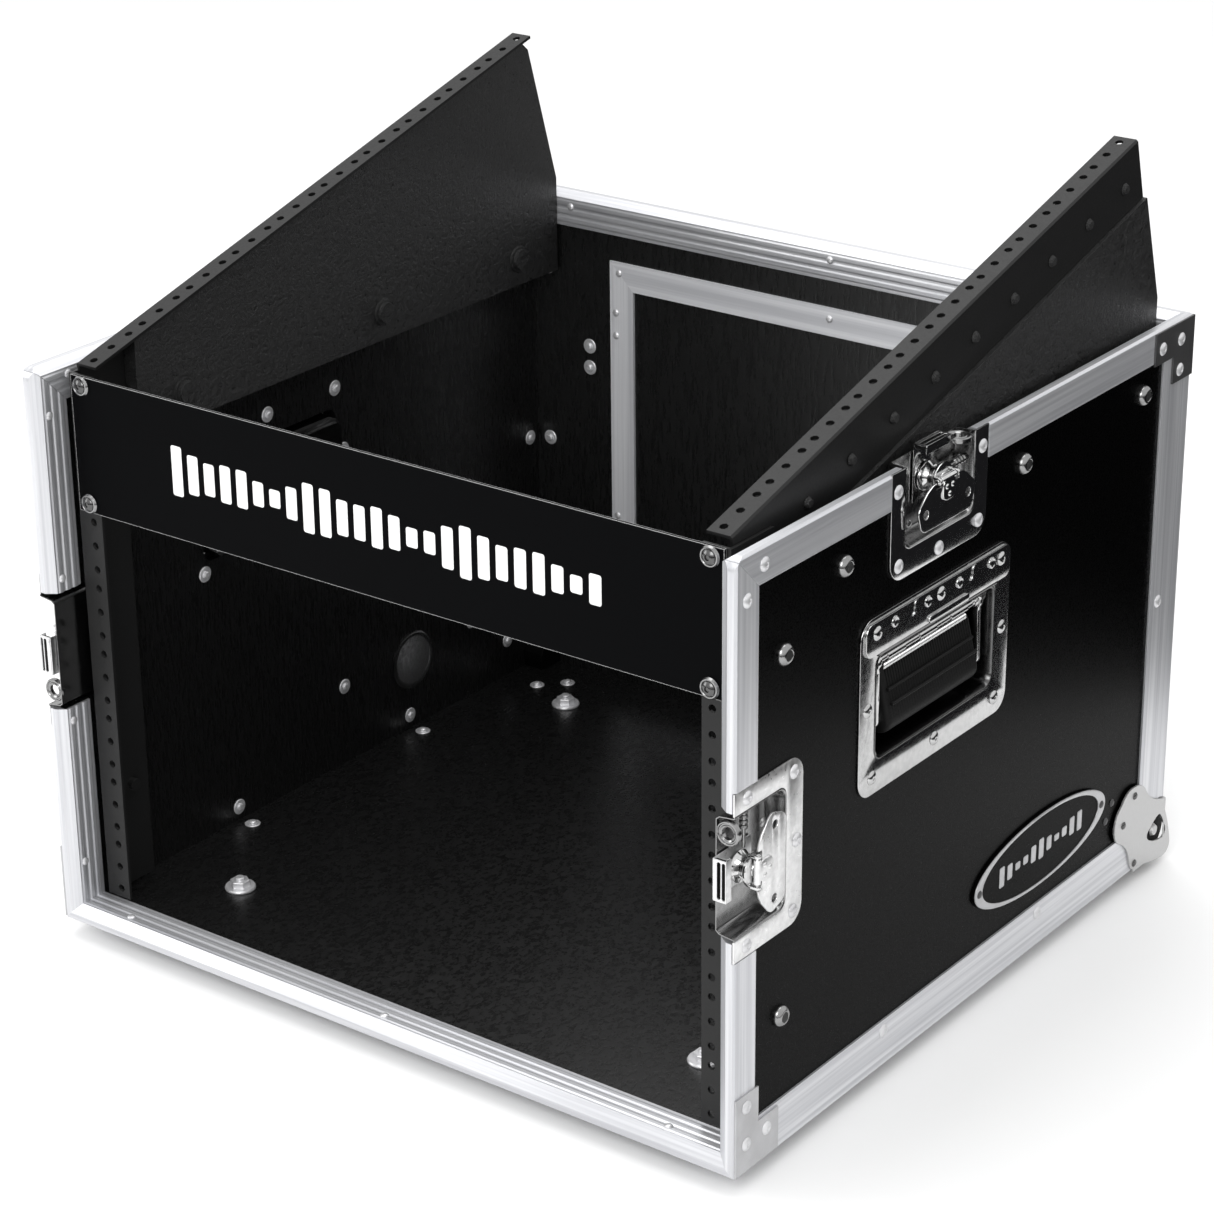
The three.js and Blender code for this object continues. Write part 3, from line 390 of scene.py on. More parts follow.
def arc(cx, cy, radius, start, end, steps=8):
    """Points of an arc, angles in degrees."""
    angles = [math.radians(start + (end - start) * i / steps) for i in range(steps + 1)]
    return [(cx + radius * math.cos(a), cy + radius * math.sin(a)) for a in angles]


def rounded_box(x0, x1, y0, y1, radius, steps=6):
    corners = ((x1, y1, 0), (x0, y1, 90), (x0, y0, 180), (x1, y0, 270))
    points = []
    for x, y, turn in corners:
        cx = x - radius if x == x1 else x + radius
        cy = y - radius if y == y1 else y + radius
        points += arc(cx, cy, radius, turn, turn + 90, steps)
    return points


def circle(cx, cy, radius, steps=20):
    return arc(cx, cy, radius, 0, 360 - 360 / steps, steps - 1)


def plate(loops, low, high, bevel=0.3):
    """A flat sheet from low to high along z, outlined by its first loop, with the others as holes."""
    curve = bpy.data.curves.new("outline", "CURVE")
    curve.dimensions = "2D"
    curve.fill_mode = "BOTH"
    curve.extrude = (high - low) / 2 - bevel
    curve.bevel_depth = bevel
    curve.bevel_resolution = 1
    curve.offset = -bevel
    for loop in loops:
        spline = curve.splines.new("POLY")
        spline.points.add(len(loop) - 1)
        for point, (x, y) in zip(spline.points, loop):
            point.co = (x, y, 0, 1)
        spline.use_cyclic_u = True
    holder = bpy.data.objects.new("outline", curve)
    bpy.context.scene.collection.objects.link(holder)
    evaluated = holder.evaluated_get(bpy.context.evaluated_depsgraph_get())
    work = bmesh.new()
    work.from_mesh(evaluated.to_mesh())
    evaluated.to_mesh_clear()
    bpy.data.objects.remove(holder)
    bpy.data.curves.remove(curve)
    bmesh.ops.remove_doubles(work, verts=work.verts, dist=1e-4)
    bmesh.ops.translate(work, vec=(0, 0, (low + high) / 2), verts=work.verts)
    return mesh_from(work)


def lathe(profile, steps=24):
    """Turns (radius, height) points round z; the profile starts and ends on the axis."""
    work = bmesh.new()
    rings = []
    for radius, height in profile:
        if radius < 1e-6:
            rings.append([work.verts.new((0, 0, height))])
        else:
            rings.append([work.verts.new((x, y, height)) for x, y in circle(0, 0, radius, steps)])
    for lower, upper in zip(rings, rings[1:]):
        for i in range(steps):
            j = (i + 1) % steps
            corners = [lower[i % len(lower)], lower[j % len(lower)]]
            corners += [upper[j % len(upper)], upper[i % len(upper)]]
            distinct = list(dict.fromkeys(corners))
            if len(distinct) > 2:
                work.faces.new(distinct)
    return mesh_from(work)


def loft(sections, closed=True, capped=True):
    """Joins point rings of equal length; closed says whether each ring returns to its start."""
    work = bmesh.new()
    rings = [[work.verts.new(point) for point in ring] for ring in sections]
    count = len(rings[0])
    for lower, upper in zip(rings, rings[1:]):
        for i in range(count if closed else count - 1):
            j = (i + 1) % count
            work.faces.new((lower[i], lower[j], upper[j], upper[i]))
    if capped:
        work.faces.new(rings[0])
        work.faces.new(rings[-1])
    return mesh_from(work)


def strip(path, thickness, half_width):
    """A bent sheet: path is its (y, z) middle line, and it runs half_width to each side along x."""
    half = thickness / 2
    chamfer, thinned = 0.5, 0.6
    left, right = [], []
    for i, (y, z) in enumerate(path):
        before = path[max(i - 1, 0)]
        after = path[min(i + 1, len(path) - 1)]
        along = Vector((after[0] - before[0], after[1] - before[1])).normalized()
        left.append((y - along.y * half, z + along.x * half))
        right.append((y + along.y * half, z - along.x * half))
    outline = left + right[::-1]
    inner = half_width - chamfer
    sections = []
    for x, shrink in ((-half_width, thinned), (-inner, 0), (inner, 0), (half_width, thinned)):
        ring = []
        for (y, z), (my, mz) in zip(outline, path + path[::-1]):
            ring.append((x, y + (my - y) * shrink, z + (mz - z) * shrink))
        sections.append(ring)
    return loft(sections)


def pressed_tub(rings, thickness, closed=True):
    """A pressed tub whose wall runs through the rings, and whose bottom fills the last one."""
    work = bmesh.new()
    work.from_mesh(loft(rings, closed=closed, capped=False))
    work.verts.ensure_lookup_table()
    work.faces.new(work.verts[-len(rings[0]):])
    bmesh.ops.recalc_face_normals(work, faces=work.faces)
    bmesh.ops.solidify(work, geom=work.faces, thickness=thickness)
    return mesh_from(work)


def merged(meshes):
    """Several meshes, each with its own matrix, as one."""
    work = bmesh.new()
    for mesh, matrix in meshes:
        before = len(work.verts)
        work.from_mesh(mesh)
        work.verts.ensure_lookup_table()
        fresh = work.verts[before:]
        bmesh.ops.transform(work, matrix=matrix, verts=fresh)
    joined = bpy.data.meshes.new("draft")
    work.to_mesh(joined)
    work.free()
    return joined


def move(x=0.0, y=0.0, z=0.0):
    return Matrix.Translation((x, y, z))


def turn(degrees, axis):
    return Matrix.Rotation(math.radians(degrees), 4, axis)


def facing(x_axis, y_axis, z_axis, origin):
    """Matrix of a frame from its three axes and its origin."""
    matrix = Matrix((x_axis, y_axis, z_axis)).transposed().to_4x4()
    return Matrix.Translation(origin) @ matrix


# Axes of what is drawn on the right side: x to the rear, y up and z outwards.
RIGHT_SIDE = (Vector((0, 1, 0)), Vector((0, 0, 1)), Vector((1, 0, 0)))
MIRROR = Matrix.Scale(-1, 4, (1, 0, 0))
UPRIGHT = Matrix.Identity(4)


def mirrored(matrix, side):
    return matrix if side > 0 else MIRROR @ matrix


def outward_frame(normal, point):
    """A frame at a point with z along an axis-aligned normal."""
    z_axis = Vector(normal)
    x_axis = Vector((0, 1, 0)) if abs(z_axis.y) < 0.5 else Vector((1, 0, 0))
    return facing(x_axis, z_axis.cross(x_axis), z_axis, point)


# -------------------- CAD nodes and their finishes
def finish_node(name, material):
    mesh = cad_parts[name].data
    mesh.materials.clear()
    mesh.materials.append(material)


def door_trim():
    """Dull aluminium round the rear door, mitred at its four corners."""
    low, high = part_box("door_frame")
    mitre = (high.x, "Z", (low.z + high.z) / 2, (high.z - low.z) / 2)
    return drawn_aluminium("door_trim", 0, 2, mitre, metallic=0.25)


def finish_frame():
    for word, side in SIDES:
        pairs = {
            "side_panel": laminate(f"laminate_{word}", (side, 0, 0)),
            "front_extrusion": ALUMINIUM[2],
            "top_extrusion": ALUMINIUM[1],
            "bottom_angle": ALUMINIUM[1],
            "rear_angle": ALUMINIUM[2],
            "upright_rail": RAIL,
            "slant_rail": RAIL,
            "slant_plate": BOARD,
            "front_bracket": CHEEK,
            "rear_bracket": BRACKET,
            "wheel_housing": wheel_corner(f"wheel_corner_{word}"),
            "wheel": RUBBER,
            "front_foot": RUBBER,
            "rear_foot": RUBBER,
        }
        for node, material in pairs.items():
            finish_node(f"{node}_{word}", material)
    singles = {
        "bottom_panel": laminate("laminate_bottom", (0, 0, -1)),
        "rear_panel": laminate("laminate_rear", (0, 1, 0)),
        "access_door": laminate("laminate_door", (0, 1, 0)),
        "front_extrusion_lower": LOW_EDGING,
        "top_extrusion_rear": REAR_EDGING,
        "rear_bottom_angle": ALUMINIUM[0],
        "door_frame": door_trim(),
        "door_hinge": ALUMINIUM[2],
        "door_catch_lower": CHROME,
        "door_catch_upper": CHROME,
        "blank_panel": BLANK,
        "badge": BADGE_FIELD,
    }
    for node, material in singles.items():
        finish_node(node, material)


# -------------------- rivets and bolts
DOME_RIM = [(0, -0.4), (4.1, -0.4), (4.3, 0.2), (3.7, 0.9)]
DOME = lathe([*DOME_RIM, (2.4, 1.5), (1.5, 1.65), (1.2, 1.2), (0, 1.1)], 16)
SMALL_DOME = lathe([(0, -0.3), (2.6, -0.3), (2.7, 0.2), (2.0, 0.9), (1.0, 1.2), (0, 1.2)], 14)
END_WASHER = [(0, -0.3), (5.4, -0.3), (5.5, 0.4), (5.0, 0.8), (2.8, 0.8)]
WASHER_END = lathe([*END_WASHER, (2.6, 1.9), (1.6, 2.5), (0, 2.2)], 16)
BOLT_RIM = [(0, -0.2), (6.5, -0.2), (6.6, 1), (6.1, 2.2), (4.9, 3.5)]
BOLT_DOME = lathe([*BOLT_RIM, (4.1, 4), (3.5, 4.1), (2.9, 3.7), (0, 3.65)], 28)
CUP_WASHER = lathe([(0, 0), (6.2, 0), (6.4, 0.7), (5.6, 1.9), (4.9, 2), (4.4, 1.5), (0, 1.5)], 28)
SCREW_HEAD = lathe([(0, 1), (4.3, 1), (4.3, 2.1), (3.4, 3), (1.6, 3.5), (1.2, 2.6), (0, 2.5)], 20)


def foot_nut():
    """Washer, hexagon nut and bolt end above a foot."""
    washer = lathe([(0, 0), (10, 0), (10.2, 1), (9.6, 2.1), (0, 2.1)], 28)
    hexagon = lathe([(0, 1.5), (6.4, 1.5), (6.6, 2.2), (6.6, 5.6), (6, 6.2), (0, 6.2)], 6)
    bolt_end = lathe([(0, 5), (3.2, 5), (3.2, 7.6), (2.6, 8.2), (0, 8.2)], 16)
    return merged([(part, UPRIGHT) for part in (washer, hexagon, bolt_end)])


LATCH_RIVETS = [(-45, 12), (45, 12), (-43, 57), (43, 57), (0, 60)]
HANDLE_RIVETS = [(-67, 46), (0, 47), (67, 46), (73, 0), (67, -44), (0, -45), (-67, -44), (-73, 0)]
EDGING_LEG, EDGING_THICK = 21, 12.6
BRACKET_SHEET, CHEEK_SHEET = 1.2, 1.4
INNER_LINE = HALF_WIDTH - 22
LOW_RIVETS = [DEPTH * share for share in (0.31, 0.67)]
RACK_HALF = 465.1 / 2


def rivet_row(name, places, normal, head=DOME, material=RIVET):
    """One piece holding a rivet head at each (x, y, z), all facing along the same normal."""
    heads = [(head, outward_frame(normal, place)) for place in places]
    add_piece(name, merged(heads), material, "case", UPRIGHT)


def side_places(x):
    """Where the latches' and the handle's rivets go through a side panel."""
    places = [(HANDLE_AT.y + u, HANDLE_AT.z + v) for u, v in HANDLE_RIVETS]
    places += [(v, FRONT_LATCH_Z + u) for u, v in LATCH_RIVETS]
    places += [(TOP_LATCH_Y + u, HEIGHT - v) for u, v in LATCH_RIVETS]
    return [(x, y, z) for y, z in places]


def edge_places():
    """Rivets of the edging on a side, as (y, z)."""
    leg, past_corner = EDGING_LEG / 2, 26
    places = [(past_corner, HEIGHT - leg), (leg, HEIGHT - past_corner), (DEPTH - 25, HEIGHT / 2)]
    return places + [(y, 23) for y in LOW_RIVETS]


def add_corner_rivets(word, side):
    """Rivets of the edging, of the corner brackets and of the wheel corner, on the outside."""
    out = (side, 0, 0)
    skin = side * HALF_WIDTH
    rivet_row(f"edge_rivets_{word}", [(skin, y, z) for y, z in edge_places()], out)
    over_bracket = skin + side * BRACKET_SHEET
    brackets = [(11, 43), (11, 19), (31, 19.5)]
    brackets += [(DEPTH - 40, HEIGHT - 13), (DEPTH - 16, HEIGHT - 13), (DEPTH - 16, HEIGHT - 33)]
    rivet_row(f"bracket_rivets_{word}", [(over_bracket, y, z) for y, z in brackets], out)
    over_cheek = skin + side * CHEEK_SHEET
    cheek = [(over_cheek, DEPTH - y, z) for y, z in ((43, 56), (57, 40), (39, 5))]
    rivet_row(f"cheek_rivets_{word}", cheek, out, head=SMALL_DOME, material=DARK_AND_SHADED_CHROME)
    pins = [(side * PANEL_OUT, DEPTH - y, z) for y, z in ((69.5, 61), (77, 50.5))]
    rivet_row(f"side_pins_{word}", pins, out, head=SMALL_DOME, material=BRACKET)


def add_inner_ends(word, side):
    """Washers and rivet ends inside, on the side wall behind the rail, the floor and the rear wall."""
    wall, rail_back = side * PANEL_IN, 62
    ends = side_places(wall)
    ends += [(wall, BADGE_AT.y + u, BADGE_AT.z) for u in (-70, 70)]
    ends += [(wall, y, 20) for y in LOW_RIVETS]
    ends += [(wall, DEPTH - 20, HEIGHT / 2), (wall, DEPTH - 52, 38)]
    in_view = [place for place in ends if place[1] > rail_back]
    rivet_row(f"inner_ends_{word}", in_view, (-side, 0, 0), head=WASHER_END)
    floor = [(side * INNER_LINE, y, FLOOR_TOP) for y in LOW_RIVETS]
    floor += [(side * (HALF_WIDTH - x), DEPTH - y, FLOOR_TOP) for x, y in ((40, 55), (56, 39))]
    rivet_row(f"floor_ends_{word}", floor, (0, 0, 1), head=WASHER_END)
    rear_wall = [(side * INNER_LINE, REAR_IN, z) for z in (HEIGHT / 2, HEIGHT - 58)]
    rivet_row(f"rear_ends_{word}", rear_wall, (0, -1, 0), head=WASHER_END)


def add_leg_rivets(word, side):
    """Rivets of the edging's inner legs, along the front and along the top."""
    inner_leg, from_rim = side * (HALF_WIDTH - EDGING_THICK), 9
    legs = [(inner_leg, from_rim, z) for z in (41, 141, 238, 345)]
    legs += [(inner_leg, y, HEIGHT - from_rim) for y in (27, 137, 268)]
    rivet_row(f"leg_rivets_{word}", legs, (-side, 0, 0), head=SMALL_DOME)


def add_bolt_heads(word, side):
    """Domed heads over the CAD bolts: three hold the slanted board and two the upright rail."""
    face = side * (PANEL_OUT + 0.1)
    bolts = [(face, y, 337.5) for y in (105, 297, 442)] + [(face, 47, z) for z in (84, 306)]
    rivet_row(f"bolt_heads_{word}", bolts, (side, 0, 0), head=BOLT_DOME, material=DULL_AND_SHADED_CHROME)


def add_beam_rivets():
    """Rivets of the lowest front edging and of the rear top edging, seen from inside."""
    sill = [(x, 9, EDGING_THICK) for x in (-212, 0, 212)]
    rivet_row("sill_rivets", sill, (0, 0, 1), head=SMALL_DOME)
    beam = [(x, DEPTH - EDGING_THICK, HEIGHT - 10) for x in (-218, 0, 218)]
    rivet_row("beam_rivets", beam, (0, -1, 0), head=SMALL_DOME)


def add_door_rivets():
    """Rivets of the rear door's trim, and the ends of its hinge's and its keepers' rivets."""
    low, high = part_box("door_frame")
    low, high = CASE.inverted() @ low, CASE.inverted() @ high
    inset, hinge_inset = 8, 5
    trim = []
    for x in (low.x + inset, 0, high.x - inset):
        trim += [(x, low.y, z) for z in (low.z + inset, high.z - inset)]
    for x in (low.x + hinge_inset, high.x - hinge_inset):
        trim += [(x, low.y, z) for z in (278, 295, 141)]
    rivet_row("trim_rivets", trim, (0, -1, 0), head=SMALL_DOME)
    keeper = [(-204, REAR_IN, z) for z in (249, 265, 112, 128)]
    rivet_row("keeper_ends", keeper, (0, -1, 0), head=WASHER_END)


def add_rivets():
    for word, side in SIDES:
        add_corner_rivets(word, side)
        add_inner_ends(word, side)
        add_leg_rivets(word, side)
        add_bolt_heads(word, side)
    add_beam_rivets()
    add_door_rivets()


def add_foot_nuts():
    nut = foot_nut()
    for word, _ in SIDES:
        for place in ("front", "rear"):
            spot = middle(f"{place}_foot_{word}")
            seat = (spot.x, spot.y, FLOOR_TOP + 0.1)
            rivet_row(f"{place}_foot_nut_{word}", [seat], (0, 0, 1), head=nut)


def add_rack_screws():
    """Cup washers and screws at the corners of the blank panel."""
    low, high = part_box("blank_panel")
    centre = middle("blank_panel").z
    reach = (high.z - low.z) / MM / 2 - 5.9
    corners = [(x, BLANK_FACE, centre + z) for x in (-RACK_HALF, RACK_HALF) for z in (-reach, reach)]
    rivet_row("cup_washers", corners, (0, -1, 0), head=CUP_WASHER, material=DULL_AND_SHADED_CHROME)
    rivet_row("rack_screws", corners, (0, -1, 0), head=SCREW_HEAD, material=DARK_AND_SHADED_CHROME)


# -------------------- latches
# In a latch's own frame x runs along the rim, y away from it, and z out of the panel.
LATCH_HALF, LATCH_DEPTH = 51.5, 66
MOUTH_HALF, MOUTH_DEPTH, POCKET = 38, 50, 10.6
FLANGE_LOW, FLANGE_TOP = 0.1, 1.3


def mouth_path(shrink, z):
    """The latch mouth's open outline, shrunk towards its middle."""
    half, deep, radius = MOUTH_HALF - shrink, MOUTH_DEPTH - shrink, 7
    points = [(-half, 0.2), (-half, deep * 0.45)]
    points += arc(-half + radius, deep - radius, radius, 180, 90, 6)
    points += arc(half - radius, deep - radius, radius, 90, 0, 6)
    points += [(half, deep * 0.45), (half, 0.2)]
    return [(x, y, z) for x, y in points]


def latch_dish():
    """Flange with two of the tub's pins, and the tub on its own."""
    corner = 12
    outline = [(-MOUTH_HALF, 0), (-LATCH_HALF, 0)]
    outline += arc(-LATCH_HALF + corner, LATCH_DEPTH - corner, corner, 180, 90, 8)
    outline += arc(LATCH_HALF - corner, LATCH_DEPTH - corner, corner, 90, 0, 8)
    outline += [(LATCH_HALF, 0), (MOUTH_HALF, 0)]
    outline += [(x, y) for x, y, _ in mouth_path(0, 0)][::-1]
    flange = plate([outline], FLANGE_LOW, FLANGE_TOP, 0.4)
    pins = [(SMALL_DOME, move(x, 44, -POCKET)) for x in (-14, 14)]
    levels = [(0.0, FLANGE_TOP), (0.5, 1.5), (1.1, 1.2), (1.6, 0.2), (2.0, -4)]
    levels += [(2.6, -POCKET + 2), (4.2, -POCKET)]
    tub = pressed_tub([mouth_path(shrink, z) for shrink, z in levels], 0.6, closed=False)
    return merged([(flange, UPRIGHT), *pins]), tub


def latch_fittings():
    """Padlock eye, which stands across the rim, and the straight leg of the drum's spring."""
    eye_hole, eye_radius, eye_at = 3.8, 7.5, (-26.5, 2.2, -4)
    ring = [(eye_hole, -1.4), (eye_radius, -1.4), (eye_radius, 0.9), (7, 1.6), (6.4, 1.6)]
    ring += [(5.9, 0.9), (5.3, 0.9), (4.8, 1.6), (eye_hole, 1), (eye_hole, -1.4)]
    parts = [(lathe(ring, 32), move(*eye_at) @ turn(90, "X"))]
    leg_x, leg_y, leg_z, leg_half = -23.5, 17.5, -5, 12
    leg = lathe([(0, -leg_half), (1.1, -leg_half), (1.1, leg_half), (0, leg_half)], 12)
    parts.append((leg, move(leg_x, leg_y, leg_z) @ turn(90, "Y")))
    collar = lathe([(0, -1.2), (2.2, -1.2), (2.6, 0), (2.2, 1.2), (0, 1.2)], 16)
    parts += [(collar, move(-33 + 3 * i, leg_y, leg_z) @ turn(90, "Y")) for i in range(4)]
    return merged(parts)


SPINDLE_Y, HINGE_Y, WING_Z = 18, 16, 5.3


def latch_drum():
    """Turning disc with its cam, spring and spindle, and the two ears that hold the wing's pin."""
    profile = [(0, -POCKET + 2.2), (8.4, -POCKET + 2.4), (8.8, -POCKET + 3.2), (6.2, -3.8), (6, 0.2)]
    profile += [(10.2, 0.8), (10.5, 1.6), (10.2, 2.9), (4.4, 3), (4.2, 3.4), (0, 3.4)]
    body = lathe(profile, 28)
    cam = plate([circle(3.5, 0, 7.5, 24)], -8, -6.4, 0.4)
    pin = lathe([(0, -11), (1, -11), (1.4, -10.6), (1, -10.2), (1, 10.2), (1.4, 10.6), (1, 11), (0, 11)], 12)
    ear = plate([[(-2.2, 0), (2.2, 0), *arc(0, 3.2, 2.2, 0, 180, 8)]], -0.9, 0.9, 0.25)
    coil = lathe([(6.4, -0.5), (7.2, 0), (6.4, 0.5), (6.0, 0), (6.4, -0.5)], 24)
    at_spindle = move(0, SPINDLE_Y, 0)
    parts = [(body, at_spindle), (cam, at_spindle), (pin, move(0, HINGE_Y, WING_Z) @ turn(90, "Y"))]
    parts += [(ear, move(x, HINGE_Y, 2.2) @ turn(90, "X") @ turn(90, "Y")) for x in (-9.5, 9.5)]
    parts += [(coil, move(0, SPINDLE_Y, -3.6 + 1.1 * i)) for i in range(4)]
    return merged(parts)


def latch_wing():
    """Folding wing with a clip riveted over its hinge tube."""
    half = 0.7
    outline = [(9, HINGE_Y + 3.8), (12, HINGE_Y + 3.8), (12, HINGE_Y + 0.2)]
    outline += [(16, HINGE_Y + 0.8), (21, HINGE_Y + 3.4), (28.5, 26)]
    outline += arc(25.6, 30, 4.6, -35, 10, 5)
    outline += arc(22, 36.4, 6, 12, 90, 7)
    outline += [(-x, y) for x, y in outline[::-1]]
    holes = [circle(x, 32, 2.7, 16) for x in (-22.5, 22.5)]
    sheet = plate([outline, *holes], WING_Z - half, WING_Z + half, 0.35)
    clip = plate([rounded_box(-6.5, 6.5, HINGE_Y - 0.5, 29, 4.5, 8)], WING_Z - half, WING_Z + 2, 0.5)
    tube = lathe([(0, -7.5), (1.7, -7.5), (2, -7.2), (2, 7.2), (1.7, 7.5), (0, 7.5)], 18)
    parts = [(sheet, UPRIGHT), (clip, UPRIGHT), (tube, move(0, HINGE_Y, WING_Z) @ turn(90, "Y"))]
    for x, y in ((-3, 20.5), (3, 20.5), (0, 25.5)):
        parts.append((SMALL_DOME, move(x, y, WING_Z + 2) @ Matrix.Scale(0.62, 4)))
    return merged(parts)


HOOK_HALF, HOOK_FRONT, HOOK_BACK = 12.8, -5, 31
HOOK_TOP, HOOK_FLOOR = -0.8, -POCKET + 1.1


def latch_hook():
    """Sliding plate whose front end is folded up and back into a claw, with two slots in its face."""
    sheet = 0.8
    bend = [(0, HOOK_FLOOR), (HOOK_FRONT + sheet, HOOK_FLOOR), (HOOK_FRONT + 0.5, HOOK_FLOOR + sheet)]
    base = strip([(HOOK_BACK, HOOK_FLOOR), *bend], 0.9, HOOK_HALF)
    slots = [rounded_box(-11.3, 11.3, HOOK_FLOOR + z, HOOK_FLOOR + z + 2.4, 1.1, 4) for z in (2.7, 5.9)]
    outline = rounded_box(-HOOK_HALF, HOOK_HALF, HOOK_FLOOR, HOOK_TOP, 0.4, 3)
    face = plate([outline, *slots], -sheet / 2, sheet / 2, 0.2)
    upright = facing(Vector((1, 0, 0)), Vector((0, 0, 1)), Vector((0, -1, 0)), (0, HOOK_FRONT + 0.5, 0))
    cover = rounded_box(-HOOK_HALF, HOOK_HALF, HOOK_FRONT + 0.4, 0.5, 0.6, 3)
    roof = plate([cover], HOOK_TOP - sheet, HOOK_TOP, 0.2)
    return merged([(base, UPRIGHT), (face, upright), (roof, UPRIGHT)])


def hook_shade_block():
    """Black block inside the claw, a dark sheet put there as painted shade seen through its slots."""
    outline = rounded_box(1 - HOOK_HALF, HOOK_HALF - 1, HOOK_FRONT + 1.5, -1.2, 0.5, 3)
    return plate([outline], HOOK_FLOOR + 0.6, HOOK_TOP - 1, 0.2)


def add_latches():
    rim, tub = latch_dish()
    meshes = {"dish": rim, "drum": latch_drum(), "wing": latch_wing(), "hook": latch_hook()}
    shine = {"front_latch": SATIN_CHROME, "top_latch": CHROME}
    heads = merged([(DOME, move(u, v, FLANGE_TOP)) for u, v in LATCH_RIVETS])
    fittings = latch_fittings()
    shade_block = hook_shade_block()
    into, down, out = Vector((0, 1, 0)), Vector((0, 0, -1)), Vector((1, 0, 0))
    places = {
        "front_latch": facing(down, into, out, (PANEL_OUT, 0, FRONT_LATCH_Z)),
        "top_latch": facing(-into, down, out, (PANEL_OUT, TOP_LATCH_Y, HEIGHT)),
    }
    for word, side in SIDES:
        for place, matrix in places.items():
            matrix = mirrored(matrix, side)
            turned = matrix if side > 0 else matrix @ MIRROR
            name = f"{place}_{word}"
            for part, mesh in meshes.items():
                node = f"{name}_{part}"
                body = "case" if part == "dish" else node
                finish = CHROME if part == "drum" else shine[place]
                piece = add_piece(f"{node}_look", mesh, finish, body, matrix)
                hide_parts(node)
            # The tub is the same pressing as the flange, darkened here as painted shade of its recess.
            add_piece(f"{name}_tub", tub, DULL_AND_SHADED_CHROME, "case", matrix)
            add_piece(f"{name}_rivets", heads, RIVET, "case", matrix)
            add_piece(f"{name}_fittings", fittings, DULL_AND_SHADED_CHROME, "case", turned)
            # The black block under the claw's slots is painted shade.
            add_piece(f"{name}_liner", shade_block, RUBBER, f"{name}_hook", matrix)


# -------------------- handles
# In a handle's own frame x runs along the case, y up, and z out of the panel.
HANDLE_HALF, HANDLE_RISE = 81, 55
HANDLE_MOUTH = (-65, 65, -35, 31)
BAIL_Y, BAIL_Z, BAIL_REACH = 21, -7, 36
COVER_TOP = 3.2
GRIP_HEEL = (-17, -8, 9)
GRIP_EDGE = (12, -9.5, 3.5)


def handle_ring(shrink, z):
    x0, x1, y0, y1 = HANDLE_MOUTH
    ring = rounded_box(x0 + shrink, x1 - shrink, y0 + shrink, y1 - shrink, 7)
    return [(x, y, z) for x, y in ring]


def s_mark():
    """Pressed rib in the shape of a narrow S."""
    radius, half = 4.5, 0.9
    path = arc(0, radius, radius, 90, 180, 6) + arc(-2 * radius, radius, radius, 0, -90, 6)
    path = [(x / 2, y) for x, y in path]
    outline = [(x + half, y) for x, y in path] + [(x - half, y) for x, y in path[::-1]]
    return plate([outline], 0, 0.8, 0.25)


def handle_flange():
    """Flange with its riveted cover plate, the cover's bosses and the knuckles of the bail's rod."""
    outline = rounded_box(-HANDLE_HALF, HANDLE_HALF, -HANDLE_RISE, HANDLE_RISE, 12, 8)
    flange = plate([outline, rounded_box(*HANDLE_MOUTH, 7)], FLANGE_LOW, FLANGE_TOP, 0.4)
    cover = plate([rounded_box(-78, 78, 32.5, 53, 6, 8)], 1.2, COVER_TOP, 0.7)
    roll = plate([rounded_box(-14, 30, 33, 37.5, 2.2, 6)], 2.8, 4.6, 0.8)
    parts = [(flange, UPRIGHT), (cover, UPRIGHT), (roll, UPRIGHT)]
    boss = lathe([(0, -0.2), (3.6, -0.2), (3.4, 0.7), (2.6, 1.1), (1.8, 0.7), (0, 0.5)], 16)
    parts += [(boss, move(x, 47, COVER_TOP - 0.1)) for x in (-49, -14, 20, 56)]
    parts += [(s_mark(), move(x, 44, COVER_TOP - 0.1)) for x in (-26, 37)]
    parts += [(DOME, move(u, v, COVER_TOP if v > 10 else FLANGE_TOP)) for u, v in HANDLE_RIVETS]
    sleeve = lathe([(2.4, -9), (3.1, -9), (3.1, 9), (2.4, 9), (2.4, -9)], 16)
    parts += [(sleeve, move(x, BAIL_Y, BAIL_Z) @ turn(90, "Y")) for x in (-34, 0, 34)]
    rod = lathe([(0, -64), (2.4, -64), (2.4, 64), (0, 64)], 14)
    parts.append((rod, move(0, BAIL_Y, BAIL_Z) @ turn(90, "Y")))
    return merged(parts)


def handle_tub():
    """Pressed tub, and the rolled lip over its upper edge."""
    levels = [(0.0, FLANGE_TOP), (0.5, 1.6), (1.2, 1.3), (1.7, 0.2), (2.2, -6), (2.8, -16), (4.6, -18.6)]
    tub = pressed_tub([handle_ring(shrink, z) for shrink, z in levels], 0.7)
    lip = strip([(30.2, -1.5), (30.4, 0.6), (31.4, 2.2), (33, 2.5), (36, 2.5)], 1.3, 64)
    return merged([(tub, UPRIGHT), (lip, UPRIGHT)])


